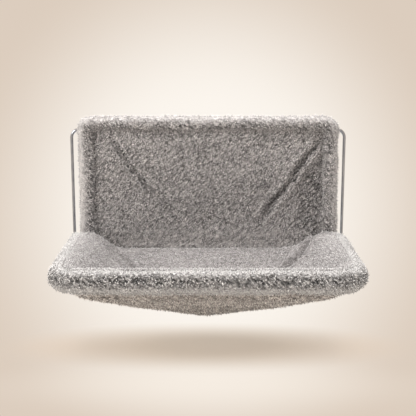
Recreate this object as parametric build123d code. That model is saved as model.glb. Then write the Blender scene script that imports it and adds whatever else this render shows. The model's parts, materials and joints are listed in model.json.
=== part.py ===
from build123d import *
import os

os.makedirs("parts", exist_ok=True)

# The frame of the part
# X runs along the radiator, -Y points into the room and +Z is up.
# The origin is on the radiator's top front edge, midway between the two hooks.

# Hanging wire loop
wire_dia = 5.0
loop_side_step = 25.5
loop_height = 196.0
loop_bend = 14.0
loop_rise = 15.0
loop_standoff = 8.0

# Back panel: hoop, foam sleeve, plush border roll and the cloths between
back_rod_dia = 8.0
back_hoop_width = 404.0
back_hoop_rise = 27.0
back_hoop_bend = 16.0
hoop_behind_gap = 18.5
border_dia = 26.0
border_foam_dia = 18.4
border_plush = 3.5
front_cloth = 7.0
wadding_thick = 5.0
rear_cloth = 1.8
field_front = 5.5
panel_drop = 182.0
stay_rod_dia = 5.0
stay_hem_dia = 12.0
fold_reach = 12.0
fold_depth = 2.6

# Seat: tube, foam sleeve, plush rim roll, rear bar and hammock
seat_drop = 166.0
seat_tube_dia = 12.0
seat_tube_wall = 1.2
seat_side_step = 9.5
seat_hoop_depth = 224.5
seat_hoop_bend = 34.0
rim_dia = 39.0
rim_plush = 6.2
rim_foam_dia = 26.0
rear_bar_dia = 8.0
rear_bar_sink = 28.0
rear_bar_back = 19.0
rear_bar_bend = 9.0
crank_inner_inset = 49.5
crank_outer_inset = 21.5
rear_hem_dia = 17.0
sag_depth = 90.0
inner_cloth = 7.0
under_cloth = 5.0

# Seat hinge
tongue_thick = 5.0
tongue_height = 12.0
ear_thick = 3.0
ear_width = 12.0
ear_eye_dia = 17.0
ear_sink = 33.0
ear_strap = 12.0
bush_dia = 11.0
bush_flange_dia = 14.6
bush_flange = 1.0
pivot_cap_dia = 12.0
pivot_cap_wall = 1.2
pivot_end = 2.3
stop_pin_dia = 3.6
stop_pin_sink = 9.5
stop_finger = 4.0
bracket_inset = 4.0
bracket_front = 6.5
bracket_height = 31.0

# Hooks over the radiator
hook_inset = 82.0
strap_width = 25.0
strap_thick = 2.5
strap_bend = 3.0
shelf_length = 62.0
upstand = 30.0
liner_thick = 3.0
hook_gap = 80.0
hook_leg = 48.0
hook_lap = 36.0
slot_length = 46.0
slide_in = 15.0
slide_out = 25.0
stud_dia = 6.0
stud_head_dia = 14.0
stud_head = 1.8
stud_length = 19.0
stud_place = 32.0
washer_dia = 16.0
washer_thick = 1.4
wing_nut_dia = 11.0
wing_nut_height = 6.0
wing_span = 30.0
wing_height = 10.0
wing_thick = 2.2
sleeve_wall = 2.0
sleeve_length = 30.0
saddle_width = 14.0
saddle_thick = 1.6
saddle_reach = 12.5
screw_dia = 4.0
screw_head_dia = 7.0
screw_head = 1.4

# Double clips, buffers, tabs and label
clip_inset = 37.0
clip_width = 14.0
clip_wall = 3.0
clip_screw_length = 13.0
buffer_spacing = 200.0
buffer_length = 24.0
buffer_height = 15.0
buffer_round = 3.0
tab_spacing = 120.0
tab_width = 36.0
tab_length = 48.0
tab_thick = 1.2
label_width = 18.0
label_length = 30.0
label_thick = 0.6
label_inset = 42.0
label_height = 110.0

# Clearances
soft_gap = 0.3
run_gap = 0.05
fold_gap = 1.5
slot_gap = 0.4
ear_gap = 1.0
cut_over = 40.0

# Places worked out from the sizes
wire_r = wire_dia / 2
loop_y = -loop_standoff
loop_top = loop_rise
loop_bottom = loop_top - (loop_height - wire_dia)
hoop_y = loop_y - hoop_behind_gap
hoop_x = back_hoop_width / 2
loop_x = hoop_x + loop_side_step
hoop_top = back_hoop_rise
seat_z = -seat_drop
pivot_y = hoop_y - border_dia / 2 - fold_gap - rim_dia / 2
seat_x = hoop_x + seat_side_step
crank_inner = seat_x - crank_inner_inset
crank_outer = seat_x - crank_outer_inset
seat_front = pivot_y - seat_hoop_depth
rear_bar_y = pivot_y + rear_bar_back
rear_bar_z = seat_z - rear_bar_sink
field_y = hoop_y - field_front
stay_z = -panel_drop
stay_y = field_y + stay_hem_dia / 2 + fold_gap / 3
bracket_top = seat_z - (bracket_height - ear_sink) / 2 - ear_strap / 2
bracket_bottom = seat_z - ear_sink


def block(x_span, y_span, z_span):
    """Box between a low and a high limit on each axis."""
    spans = (x_span, y_span, z_span)
    middle = [(low + high) / 2 for low, high in spans]
    size = [high - low for low, high in spans]
    return Pos(*middle) * Box(*size)


def bar(start, end, dia):
    """Straight round bar between two points."""
    start, end = Vector(*start), Vector(*end)
    along = end - start
    place = Plane(origin=start, z_dir=along)
    low = (Align.CENTER, Align.CENTER, Align.MIN)
    return place * Cylinder(dia / 2, along.length, align=low)


def bent_bar(points, bend, dia):
    """Round bar swept along straight runs joined by tangent bends."""
    path = FilletPolyline(*points, radius=bend)
    section = Plane(origin=path @ 0, z_dir=path % 0) * Circle(dia / 2)
    return sweep(section, path=path)


def ring(start, end, dia, bore):
    """Straight sleeve between two points."""
    return bar(start, end, dia) - bar(start, end, bore)


def mirrored(shape):
    """The same shape on the left side."""
    return mirror(shape, about=Plane.YZ)


def strap(points, bend, thick, width, middle_x):
    """Flat strip of even thickness, bent along points in the YZ plane."""
    path = FilletPolyline(*[(y, z) for y, z in points], radius=bend)
    outline = trace(path, line_width=thick)
    flat = Plane(origin=(middle_x - width / 2, 0, 0), x_dir=(0, 1, 0), z_dir=(1, 0, 0))
    return extrude(flat * outline, amount=width)


def side_outline(outline, x_low, x_high):
    """Plate cut to an outline in the YZ plane, between two places on X."""
    flat = Plane(origin=(x_low, 0, 0), x_dir=(0, 1, 0), z_dir=(1, 0, 0))
    return extrude(flat * outline, amount=x_high - x_low)


parts = {}


def keep(name, shape):
    """Write one piece to its own file."""
    parts[name] = shape
    export_step(shape, os.path.join("parts", name + ".step"))


def keep_pair(name, right):
    """Write a right piece and its mirror image."""
    keep("right_" + name, right)
    keep("left_" + name, mirrored(right))


# Hanging loop: one closed round-cornered wire
half_loop = bent_bar(
    [
        (0, loop_y, loop_top),
        (loop_x, loop_y, loop_top),
        (loop_x, loop_y, loop_bottom),
        (0, loop_y, loop_bottom),
    ],
    loop_bend,
    wire_dia,
)
keep("hanger_loop", half_loop + mirrored(half_loop))

# Back hoop: inverted U whose legs stand in the hinge brackets
hoop_foot = bracket_bottom + ear_strap / 2


def back_run(foot, dia):
    """Bar or roll along the back hoop, down to a given foot."""
    points = [
        (-hoop_x, hoop_y, foot),
        (-hoop_x, hoop_y, hoop_top),
        (hoop_x, hoop_y, hoop_top),
        (hoop_x, hoop_y, foot),
    ]
    return bent_bar(points, back_hoop_bend, dia)


keep("back_hoop", back_run(hoop_foot, back_rod_dia))


# Double clips between the loop's top bar and the hoop's top bar
clip_x = hoop_x - clip_inset


def clip_body(extra):
    """Figure of eight round the two bars, grown by a given amount."""
    wire_end = Pos(loop_y, loop_top) * Circle(wire_r + clip_wall + extra)
    rod_end = Pos(hoop_y, hoop_top) * Circle(back_rod_dia / 2 + clip_wall + extra)
    half = clip_width / 2 + extra
    return side_outline(make_hull((wire_end + rod_end).edges()), clip_x - half, clip_x + half)


clip_run = Vector(0, hoop_y - loop_y, hoop_top - loop_top)
clip_across = Vector(0, -clip_run.Z, clip_run.Y).normalized() * -1
clip_waist = Vector(clip_x, (loop_y + hoop_y) / 2, (loop_top + hoop_top) / 2)
clip_waist = clip_waist - clip_run.normalized() * (back_rod_dia - wire_dia) / 4
clip_half = clip_wall + (back_rod_dia + wire_dia) / 4


def clip_screw(extra):
    """Screw through the waist of a double clip, its head at the upper rear."""
    seat = clip_waist + clip_across * (clip_half + soft_gap)
    tip = seat - clip_across * clip_screw_length
    top = seat + clip_across * (screw_head + extra)
    return bar(tip, seat, screw_dia + 2 * extra) + bar(seat, top, screw_head_dia + 2 * extra)


wire_bar = bar((-loop_x, loop_y, loop_top), (loop_x, loop_y, loop_top), wire_dia)
rod_bar = bar((-hoop_x, hoop_y, hoop_top), (hoop_x, hoop_y, hoop_top), back_rod_dia)
keep_pair("top_clip", clip_body(0) - wire_bar - rod_bar - clip_screw(0))
keep("top_clip_screws", clip_screw(0) + mirrored(clip_screw(0)))
clip_room = clip_body(soft_gap) + clip_screw(soft_gap)

# Hinge bracket: a block on the loop and the hoop's foot, with an ear under the seat's pivot
ear_x = seat_x + tongue_thick / 2
ear_low = ear_x + bush_flange
ear_high = ear_low + ear_thick
block_low = hoop_x - back_rod_dia / 2 - bracket_inset
block_front = hoop_y - bracket_front
block_rear = loop_y + wire_r + clip_wall / 2
stay_end = hoop_x - back_rod_dia / 2 - bracket_inset / 8
strap_top = bracket_bottom + ear_strap
ear_front = pivot_y - ear_width / 2

body = block(
    (block_low, ear_high),
    (block_front, block_rear),
    (bracket_bottom, bracket_top),
)
body = fillet(body.edges().filter_by(Axis.Z), bracket_inset / 2)
ear_arm = Pos((ear_front + block_front) / 2, (bracket_bottom + strap_top) / 2) * Rectangle(
    block_front - ear_front + bracket_inset, ear_strap
)
ear_post = Pos(pivot_y, (seat_z + bracket_bottom) / 2) * Rectangle(ear_width, ear_sink)
ear_eye = Pos(pivot_y, seat_z) * Circle(ear_eye_dia / 2)
ear = side_outline(ear_arm + ear_post + ear_eye, ear_low, ear_high)
pivot_in = (crank_outer, pivot_y, seat_z)
pivot_out = (ear_high + pivot_end, pivot_y, seat_z)
stop_z = seat_z - stop_pin_sink
stop_pin = bar((ear_x - tongue_thick, pivot_y, stop_z), (ear_high, pivot_y, stop_z), stop_pin_dia)
hinge_bracket = body + ear
hinge_bracket -= bar((ear_x, pivot_y, seat_z), (ear_high + cut_over, pivot_y, seat_z), bush_dia)
hinge_bracket -= stop_pin
hinge_bracket -= parts["hanger_loop"]
hinge_bracket -= bar((hoop_x, hoop_y, hoop_foot), (hoop_x, hoop_y, seat_z), back_rod_dia)
hinge_bracket -= bar((0, stay_y, stay_z), (stay_end, stay_y, stay_z), stay_rod_dia)
keep_pair("hinge_bracket", hinge_bracket)
keep("seat_stop_pins", stop_pin + mirrored(stop_pin))

bush = bar((ear_x, pivot_y, seat_z), (ear_high + slot_gap, pivot_y, seat_z), bush_dia)
bush += bar((ear_x, pivot_y, seat_z), (ear_low, pivot_y, seat_z), bush_flange_dia)
bush -= bar(pivot_in, pivot_out, rear_bar_dia + 2 * run_gap)
keep_pair("hinge_bush", bush)

# Foam sleeves on the hoop and the plush border roll round them
foam_foot = bracket_top + soft_gap
top_foam_half = hoop_x - back_hoop_bend
top_foam = ring(
    (-top_foam_half, hoop_y, hoop_top),
    (top_foam_half, hoop_y, hoop_top),
    border_foam_dia,
    back_rod_dia,
)
keep("back_foam_top", top_foam - clip_room - mirrored(clip_room))
side_foam = ring(
    (hoop_x, hoop_y, foam_foot),
    (hoop_x, hoop_y, hoop_top - back_hoop_bend),
    border_foam_dia,
    back_rod_dia,
)
keep_pair("back_foam_side", side_foam)

border_bore = border_dia - 2 * border_plush
border = back_run(foam_foot, border_dia) - back_run(foam_foot, border_bore)
keep("back_border_roll", border - clip_room - mirrored(clip_room))
border_room = back_run(foam_foot - cut_over, border_dia + 2 * soft_gap)

# Lower stay rod with its hem
stay_rod = bar((-stay_end, stay_y, stay_z), (stay_end, stay_y, stay_z), stay_rod_dia)
keep("back_stay_rod", stay_rod)
hem_half = block_low - soft_gap
keep(
    "back_lower_hem",
    ring((-hem_half, stay_y, stay_z), (hem_half, stay_y, stay_z), stay_hem_dia, stay_rod_dia),
)
hem_room = bar(
    (-hem_half - cut_over, stay_y, stay_z),
    (hem_half + cut_over, stay_y, stay_z),
    stay_hem_dia + 2 * soft_gap,
)

# Cloths of the back panel, from front to rear
bracket_room = block(
    (block_low - soft_gap, ear_high + cut_over),
    (block_front - cut_over, block_rear + cut_over),
    (bracket_bottom - cut_over, bracket_top + soft_gap),
)


def panel_layer(front, rear):
    """Layer of the back panel between two places on Y, trimmed to the rolls about it."""
    sheet = block((-hoop_x, hoop_x), (front, rear), (stay_z, hoop_top))
    sheet = sheet - border_room - hem_room - bracket_room - mirrored(bracket_room)
    return sheet - clip_room - mirrored(clip_room)


def fold_groove(end_shares):
    """Tapered hollow along a slack fold of the front cloth, given the shares of its two ends."""
    ends = []
    for side_share, height_share, share in end_shares:
        x, z = side_share * hoop_x, seat_z + height_share * panel_height
        reach = fold_reach * share
        ends.append((Vector(x, field_y - reach + fold_depth * share, z), reach))
    along = ends[1][0] - ends[0][0]
    faces = [Plane(origin=place, z_dir=along) * Circle(reach) for place, reach in ends]
    return loft(faces, ruled=True)


# The folds run from the upper corners towards the seat. Each end has shares of the hoop's half width,
# of the panel's height and of the fold's reach.
panel_height = hoop_top - seat_z
left_fold_shares = ((-0.82, 0.82, 0.9), (-0.40, 0.38, 0.3))
right_fold_shares = ((0.88, 0.80, 0.6), (0.45, 0.18, 1.5))
front_rear = field_y + front_cloth
wadding_rear = front_rear + wadding_thick
cloth_rear = wadding_rear + rear_cloth
front_sheet = panel_layer(field_y, front_rear)
front_sheet = front_sheet - fold_groove(left_fold_shares) - fold_groove(right_fold_shares)
keep("back_front_cloth", front_sheet)
keep("back_wadding", panel_layer(front_rear, wadding_rear))
keep("back_rear_cloth", panel_layer(wadding_rear, cloth_rear))

tabs = []
for step in (-1, 0, 1):
    middle = step * tab_spacing
    tabs.append(
        block(
            (middle - tab_width / 2, middle + tab_width / 2),
            (cloth_rear, cloth_rear + tab_thick),
            (stay_z + stay_hem_dia / 2, stay_z + stay_hem_dia / 2 + tab_length),
        )
    )
keep("closure_tabs", tabs[0] + tabs[1] + tabs[2])
label_x = hoop_x - label_inset
keep(
    "care_label",
    block(
        (label_x - label_width / 2, label_x + label_width / 2),
        (cloth_rear, cloth_rear + label_thick),
        (-label_height - label_length / 2, -label_height + label_length / 2),
    ),
)


# Seat hoop: U tube whose rear ends are pressed to flat tongues
def seat_run(end_y, dia):
    """Bar or roll along the seat hoop, back to a given place on Y."""
    points = [
        (-seat_x, end_y, seat_z),
        (-seat_x, seat_front, seat_z),
        (seat_x, seat_front, seat_z),
        (seat_x, end_y, seat_z),
    ]
    return bent_bar(points, seat_hoop_bend, dia)


tube_end = pivot_y - ear_width / 2 - tongue_height / 3
tongue_low = ear_x - tongue_thick
tongue_run = Pos((tube_end + pivot_y) / 2, seat_z) * Rectangle(pivot_y - tube_end, tongue_height)
tongue_end = Pos(pivot_y, seat_z) * Circle(tongue_height / 2)
finger_rear = pivot_y - stop_pin_dia / 2 - soft_gap
finger_foot = stop_z - stop_pin_dia / 2
finger = Pos(finger_rear - stop_finger / 2, (seat_z + finger_foot) / 2) * Rectangle(
    stop_finger, seat_z - finger_foot
)
tongue = side_outline(tongue_run + tongue_end + finger, tongue_low, ear_x - soft_gap / 3)
seat_bore = seat_tube_dia - 2 * seat_tube_wall
tube = seat_run(tube_end, seat_tube_dia) - seat_run(tube_end - seat_tube_wall, seat_bore)
rear_points = [
    (-pivot_out[0], pivot_y, seat_z),
    (-crank_outer, pivot_y, seat_z),
    (-crank_inner, rear_bar_y, rear_bar_z),
    (crank_inner, rear_bar_y, rear_bar_z),
    (crank_outer, pivot_y, seat_z),
    pivot_out,
]
rear_bar = bent_bar(rear_points, rear_bar_bend, rear_bar_dia)
keep("seat_hoop", tube + tongue + mirrored(tongue) - rear_bar)
keep("seat_rear_bar", rear_bar)

cap_start = ear_high + slot_gap + soft_gap
cap_end = pivot_out[0] + pivot_cap_wall
pivot_cap = bar((cap_start, pivot_y, seat_z), (cap_end, pivot_y, seat_z), pivot_cap_dia) - rear_bar
keep("pivot_caps", pivot_cap + mirrored(pivot_cap))

# Foam sleeves on the seat hoop
foam_rear = tube_end - tongue_height / 2
foam_corner = seat_front + seat_hoop_bend
side_rim_foam = ring(
    (seat_x, foam_corner, seat_z), (seat_x, foam_rear, seat_z), rim_foam_dia, seat_tube_dia
)
keep_pair("rim_foam_side", side_rim_foam)
front_foam_half = seat_x - seat_hoop_bend
keep(
    "rim_foam_front",
    ring(
        (-front_foam_half, seat_front, seat_z),
        (front_foam_half, seat_front, seat_z),
        rim_foam_dia,
        seat_tube_dia,
    ),
)


# Plush rim roll: a sleeve with round rear ends about the pivots, notched round the ears
def rim_solid(dia):
    """Rim roll of a given thickness with ball ends at the pivots."""
    ball = Pos(seat_x, pivot_y, seat_z) * Sphere(dia / 2)
    return seat_run(pivot_y, dia) + ball + mirrored(ball)


notch = block(
    (ear_x - soft_gap, seat_x + cut_over),
    (pivot_y - ear_width / 2 - ear_gap, pivot_y + cut_over),
    (seat_z - cut_over, seat_z + ear_width / 2 + ear_gap),
)
rim_bore = rim_dia - 2 * rim_plush
rim_room = rim_solid(rim_dia + 2 * soft_gap)
bar_room = bent_bar(rear_points, rear_bar_bend, rear_bar_dia + 2 * soft_gap)
rim_roll = rim_solid(rim_dia) - rim_solid(rim_bore) - notch - mirrored(notch) - bar_room
keep("seat_rim_roll", rim_roll)

# Plush hem over the rear bar
rear_hem_full = bent_bar(rear_points[1:5], rear_bar_bend, rear_hem_dia)
rear_hem = rear_hem_full - rear_bar - rim_room
keep("seat_rear_hem", rear_hem)
rear_hem_room = bent_bar(rear_points[1:5], rear_bar_bend, rear_hem_dia + 2 * soft_gap)

# Hammock: shares of the sag, the half width, the front and rear reach, and the corner at each level
apex_share = 0.46
apex_y = pivot_y - apex_share * seat_hoop_depth
front_reach = apex_y - seat_front
rear_reach = rear_bar_y - apex_y
hammock_shares = (
    (0.00, 0.945, 0.93, 0.98, 0.08),
    (0.22, 0.955, 0.955, 0.99, 0.08),
    (0.40, 0.770, 0.770, 0.93, 0.12),
    (0.92, 0.130, 0.140, 0.16, 0.35),
    (1.00, 0.045, 0.050, 0.06, 0.45),
)
raise_share = 0.8
shrink_share = 0.6


def bowl(inset):
    """Sagging inverted pyramid of the hammock, drawn in by a given thickness."""
    faces = []
    for sag_share, side_share, front_share, rear_share, corner_share in hammock_shares:
        room = 1 - inset * shrink_share / rear_reach
        width = 2 * side_share * seat_x * room
        front = apex_y - front_share * front_reach * room
        rear = apex_y + rear_share * rear_reach * room
        depth = rear - front
        level = seat_z - sag_share * (sag_depth - inset * raise_share)
        outline = RectangleRounded(width, depth, corner_share * depth)
        faces.append(Pos(0, (front + rear) / 2, level) * outline)
    return loft(faces, ruled=True)


under_inset = under_cloth + soft_gap
full_inset = under_inset + inner_cloth
under = bowl(0) - bowl(under_cloth)
inner = bowl(under_inset) - bowl(full_inset)
keep("hammock_under_cloth", under - rim_room - rear_hem_room - bar_room)
keep("hammock_inner_cloth", inner - rim_room - rear_hem_room - bar_room)

# Hook bracket: an upstand behind the loop's top bar, and a shelf over the radiator
hook_x = hoop_x - hook_inset
upstand_y = loop_y + wire_r + strap_thick / 2
shelf_z = liner_thick + strap_thick / 2
bracket_strap = strap(
    [(upstand_y, upstand), (upstand_y, shelf_z), (shelf_length, shelf_z)],
    strap_bend,
    strap_thick,
    strap_width,
    hook_x,
)
shelf_top = liner_thick + strap_thick
stud_low = liner_thick - stud_head
stud = bar((hook_x, stud_place, stud_low), (hook_x, stud_place, liner_thick), stud_head_dia)
stud += bar((hook_x, stud_place, liner_thick), (hook_x, stud_place, liner_thick + stud_length), stud_dia)
saddle_y = loop_y + wire_r
saddle_front = saddle_y - saddle_thick
screw_level = loop_top + saddle_reach - screw_head_dia / 2 - soft_gap
saddle_screw = bar(
    (hook_x, saddle_y + strap_thick, screw_level), (hook_x, saddle_front, screw_level), screw_dia
)
saddle_screw += bar(
    (hook_x, saddle_front, screw_level),
    (hook_x, saddle_front - screw_head, screw_level),
    screw_head_dia,
)
keep_pair("hook_bracket", bracket_strap - stud - saddle_screw)
keep_pair("hook_stud", stud)
keep("saddle_screws", saddle_screw + mirrored(saddle_screw))



def wrap_round(half):
    """Outline round the wire's front half, carried straight back to the upstand."""
    straight = Pos((loop_y + saddle_y) / 2, loop_top) * Rectangle(saddle_y - loop_y, 2 * half)
    return Pos(loop_y, loop_top) * Circle(half) + straight


flange_low = loop_top + wire_r
flange_high = loop_top + saddle_reach
flange = Pos((saddle_front + saddle_y) / 2, (flange_low + flange_high) / 2) * Rectangle(
    saddle_thick, flange_high - flange_low
)
saddle_front_half = Pos(saddle_y - cut_over / 2, loop_top) * Rectangle(cut_over, cut_over)
saddle_outline = (wrap_round(wire_r + saddle_thick) + flange) & saddle_front_half
saddle_outline -= wrap_round(wire_r)
saddle = side_outline(saddle_outline, hook_x - saddle_width / 2, hook_x + saddle_width / 2)
keep_pair("wire_saddle", saddle - saddle_screw)

# Rubber liner under the shelf: the face that rests on the radiator
liner = block(
    (hook_x - strap_width / 2, hook_x + strap_width / 2), (0, shelf_length), (0, liner_thick)
)
liner -= bar(
    (hook_x, stud_place, -cut_over), (hook_x, stud_place, liner_thick), stud_head_dia + 2 * soft_gap
)
keep_pair("hook_liner", liner)

# Sliding hook: a slotted strip on the shelf with a leg down behind the radiator
slide_z = shelf_top + strap_thick / 2
leg_y = hook_gap + sleeve_wall + strap_thick / 2
slide_front = stud_place - hook_lap / 2 + strap_bend
hook_strip = strap(
    [(slide_front, slide_z), (leg_y, slide_z), (leg_y, -hook_leg)],
    strap_bend,
    strap_thick,
    strap_width,
    hook_x,
)
slot_width = stud_dia + 2 * slot_gap
slot_middle = stud_place + (slide_in - slide_out) / 2
slot = Pos(hook_x, slot_middle, slide_z) * Rot(0, 0, 90) * extrude(
    SlotOverall(slot_length + slot_width, slot_width), amount=strap_thick, both=True
)
keep_pair("sliding_hook", hook_strip - slot)

sleeve_low = -hook_leg - sleeve_wall
sleeve = block(
    (hook_x - strap_width / 2 - sleeve_wall, hook_x + strap_width / 2 + sleeve_wall),
    (hook_gap, hook_gap + 2 * sleeve_wall + strap_thick),
    (sleeve_low, sleeve_low + sleeve_length),
)
sleeve = fillet(sleeve.edges().filter_by(Axis.Z), sleeve_wall / 2)
keep_pair("hook_sleeve", sleeve - hook_strip)

# Washer and wing nut on the stud
washer_low = shelf_top + strap_thick
washer_top = washer_low + washer_thick
stud_room = stud_dia + 2 * slot_gap
keep_pair(
    "stud_washer",
    ring((hook_x, stud_place, washer_low), (hook_x, stud_place, washer_top), washer_dia, stud_room),
)
nut_top = washer_top + wing_nut_height
nut = bar((hook_x, stud_place, washer_top + run_gap), (hook_x, stud_place, nut_top), wing_nut_dia)
wing_rise = wing_height - wing_nut_height
wing_root = wing_nut_dia / 3
wing_outline = make_face(
    Polyline(
        (0, washer_top + wing_nut_height / 3),
        (wing_root, washer_top + wing_nut_height / 3),
        (wing_span / 2 - wing_thick, nut_top),
        (wing_span / 2, nut_top + wing_rise),
        (wing_span / 3, nut_top + wing_rise),
        (wing_root, nut_top),
        (0, nut_top),
        close=True,
    )
)
wing_place = Plane(origin=(hook_x, stud_place + wing_thick / 2, 0), x_dir=(1, 0, 0), z_dir=(0, -1, 0))
wing = extrude(wing_place * wing_outline, amount=wing_thick)
other_wing = Pos(hook_x, stud_place, 0) * Rot(0, 0, 180) * Pos(-hook_x, -stud_place, 0) * wing
nut = nut + wing + other_wing
nut -= bar(
    (hook_x, stud_place, 0), (hook_x, stud_place, nut_top + wing_height), stud_dia + 2 * run_gap
)
keep_pair("wing_nut", nut)

# Rubber buffers on the loop's bottom bar, whose rear faces meet the radiator
buffer_x = buffer_spacing / 2
rubber = block(
    (buffer_x - buffer_length / 2, buffer_x + buffer_length / 2),
    (loop_y - wire_r - sleeve_wall, 0),
    (loop_bottom - buffer_height / 2, loop_bottom + buffer_height / 2),
)
rubber = fillet(rubber.edges().filter_by(Axis.X).sort_by(Axis.Y)[:2], buffer_round)
rubber -= bar((0, loop_y, loop_bottom), (loop_x, loop_y, loop_bottom), wire_dia)
keep_pair("wall_buffer", rubber)

for name, shape in sorted(parts.items()):
    box = shape.bounding_box()
    print(name, len(shape.solids()), round(shape.volume), box.min, box.max)
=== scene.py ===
"""Looks of the radiator cat bed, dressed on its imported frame.

Every length is in millimetres in the frame's axes, and turns into metres where a mesh is made. The studio
alone is in metres. X runs along the radiator, -Y points into the room and +Z is up.
"""

from __future__ import annotations

import json
import logging
import math
from collections.abc import Callable, Sequence
from dataclasses import dataclass, field, replace
from enum import Enum
from functools import reduce
from typing import Any, Protocol

import bmesh
import bpy
import numpy as np
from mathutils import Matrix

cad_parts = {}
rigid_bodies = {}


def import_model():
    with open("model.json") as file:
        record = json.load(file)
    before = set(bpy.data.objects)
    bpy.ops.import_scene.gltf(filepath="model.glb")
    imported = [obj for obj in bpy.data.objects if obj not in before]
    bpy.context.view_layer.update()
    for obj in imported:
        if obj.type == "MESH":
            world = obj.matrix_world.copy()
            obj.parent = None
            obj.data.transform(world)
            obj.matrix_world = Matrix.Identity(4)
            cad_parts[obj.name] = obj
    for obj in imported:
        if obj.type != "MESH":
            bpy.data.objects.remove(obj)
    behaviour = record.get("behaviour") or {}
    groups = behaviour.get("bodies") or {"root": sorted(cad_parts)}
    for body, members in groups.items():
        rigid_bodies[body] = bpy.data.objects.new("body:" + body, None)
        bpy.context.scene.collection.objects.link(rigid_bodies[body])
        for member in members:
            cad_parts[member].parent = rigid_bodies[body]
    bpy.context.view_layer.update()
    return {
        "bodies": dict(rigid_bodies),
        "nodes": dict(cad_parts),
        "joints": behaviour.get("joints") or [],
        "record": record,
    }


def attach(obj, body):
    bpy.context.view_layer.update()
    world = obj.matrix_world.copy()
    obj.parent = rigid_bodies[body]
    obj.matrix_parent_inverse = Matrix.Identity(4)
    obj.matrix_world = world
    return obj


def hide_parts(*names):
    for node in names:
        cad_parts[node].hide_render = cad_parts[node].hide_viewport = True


log = logging.getLogger("cat_bed")

MM = 0.001
FULL_TURN = 2 * math.pi

Array = np.ndarray
Socket = bpy.types.NodeSocket
Shape = bpy.types.Object
Span = tuple[float, float]
Place = tuple[float, float, float]
Colour = tuple[float, float, float, float]
Faces = list[tuple[int, ...]]
Rule = Callable[[Array, Array, Array], Array]


def linear(red: float, green: float, blue: float) -> Colour:
    """Turn a display colour into a linear one.

    Args:
        red: Red from 0 to 255.
        green: Green from 0 to 255.
        blue: Blue from 0 to 255.

    Returns:
        The linear colour with full alpha.
    """
    shares = [value / 255 for value in (red, green, blue)]
    plain = [s / 12.92 if s <= 0.04045 else ((s + 0.055) / 1.055) ** 2.4 for s in shares]
    return (plain[0], plain[1], plain[2], 1.0)


def smooth(value: Array | float, low: float, high: float) -> Array:
    """Ease from 0 at the low value to 1 at the high one."""
    share = np.clip((np.asarray(value, float) - low) / (high - low), 0.0, 1.0)
    return share * share * (3 - 2 * share)


def bump(value: Array | float, middle: float | Array, reach: float | Array) -> Array:
    """Soft hump of height 1 about a middle value."""
    return np.exp(-(((np.asarray(value, float) - middle) / reach) ** 2))


def round_bump(turn: Array, middle: float | Array, reach: float) -> Array:
    """Soft hump about a turn that carries on across the start of the circle."""
    return bump(turn, middle, reach) + bump(turn, middle + FULL_TURN, reach)


def ripple(place: Array, height: float, length: float, swing: Array | float = 0.0) -> Array:
    """Sine wave of a height and a length along a place, moved on by a swing."""
    return height * np.sin(place / length + swing)


class Body(Enum):
    """The moving bodies of the frame that pieces ride on."""

    HANGER = "hanger"
    SEAT = "seat"


class Held(Enum):
    """How a sheet of cloth is held."""

    STRETCHED = "stretched"
    HUNG = "hung"


class Graph:
    """Adds and links nodes in one node tree."""

    def __init__(self, tree: bpy.types.NodeTree) -> None:
        """Keep the tree that the nodes go into."""
        self.tree = tree

    def node(
        self, kind: str, inputs: dict[str | int, object] | None = None, **settings: object
    ) -> bpy.types.Node:
        """Add one node.

        Args:
            kind: The node's type name.
            inputs: Values or sockets for its inputs, by name or index.
            settings: Other properties of the node.

        Returns:
            The new node.
        """
        made = self.tree.nodes.new(kind)
        for key, value in settings.items():
            setattr(made, key, value)
        for key, value in (inputs or {}).items():
            if isinstance(value, bpy.types.NodeSocket):
                self.tree.links.new(value, made.inputs[key])
            else:
                made.inputs[key].default_value = value
        return made

    def out(self, kind: str, inputs: dict[str | int, object] | None = None, **settings: object) -> Socket:
        """Add one node and give its first output."""
        return self.node(kind, inputs, **settings).outputs[0]

    def math(self, operation: str, *values: object) -> Socket:
        """Do one sum on numbers or sockets and give its result."""
        return self.out("ShaderNodeMath", dict(enumerate(values)), operation=operation)

    def times(self, *factors: object) -> Socket:
        """Multiply numbers or sockets from left to right."""
        return reduce(lambda product, factor: self.math("MULTIPLY", product, factor), factors)

    def rest(self, value: object) -> Socket:
        """What a value leaves of 1."""
        return self.math("SUBTRACT", 1.0, value)

    def length(self, across: Socket, along: Socket) -> Socket:
        """Length of a way with two parts at a right angle."""
        squares = self.math("ADD", self.times(across, across), self.times(along, along))
        return self.math("SQRT", squares)

    def vector(self, operation: str, first: object, second: object) -> Socket:
        """Do one sum on two vectors and give its result."""
        return self.out("ShaderNodeVectorMath", {0: first, 1: second}, operation=operation)

    def scaled(self, vector: object, factor: object) -> Socket:
        """Scale a vector by a number or a socket."""
        return self.out("ShaderNodeVectorMath", {0: vector, "Scale": factor}, operation="SCALE")

    def axes(self, place: object) -> Sequence[Socket]:
        """Split a place into its X, Y and Z."""
        return self.node("ShaderNodeSeparateXYZ", {0: place}).outputs

    def mix(self, share: object, first: object, second: object, blend: str = "MIX") -> Socket:
        """Mix two colours by the share of the second, which goes onto the first as the blend says."""
        inputs = {0: share, 6: first, 7: second}
        return self.node("ShaderNodeMix", inputs, data_type="RGBA", blend_type=blend).outputs[2]

    def ramp(
        self, value: object, low: float, high: float, start: float, end: float, kind: str = "LINEAR"
    ) -> Socket:
        """Map a value from the range low to high to the range start to end, held at the ends."""
        inputs = {0: value, 1: low, 2: high, 3: start, 4: end}
        return self.out("ShaderNodeMapRange", inputs, interpolation_type=kind)

    def noise(self, place: object, scale: object, detail: float = 2.0, rough: float = 0.5) -> Socket:
        """Read a noise texture at a place, with its scale in lumps on one metre."""
        inputs = {"Vector": place, "Scale": scale, "Detail": detail, "Roughness": rough}
        return self.out("ShaderNodeTexNoise", inputs)


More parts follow.
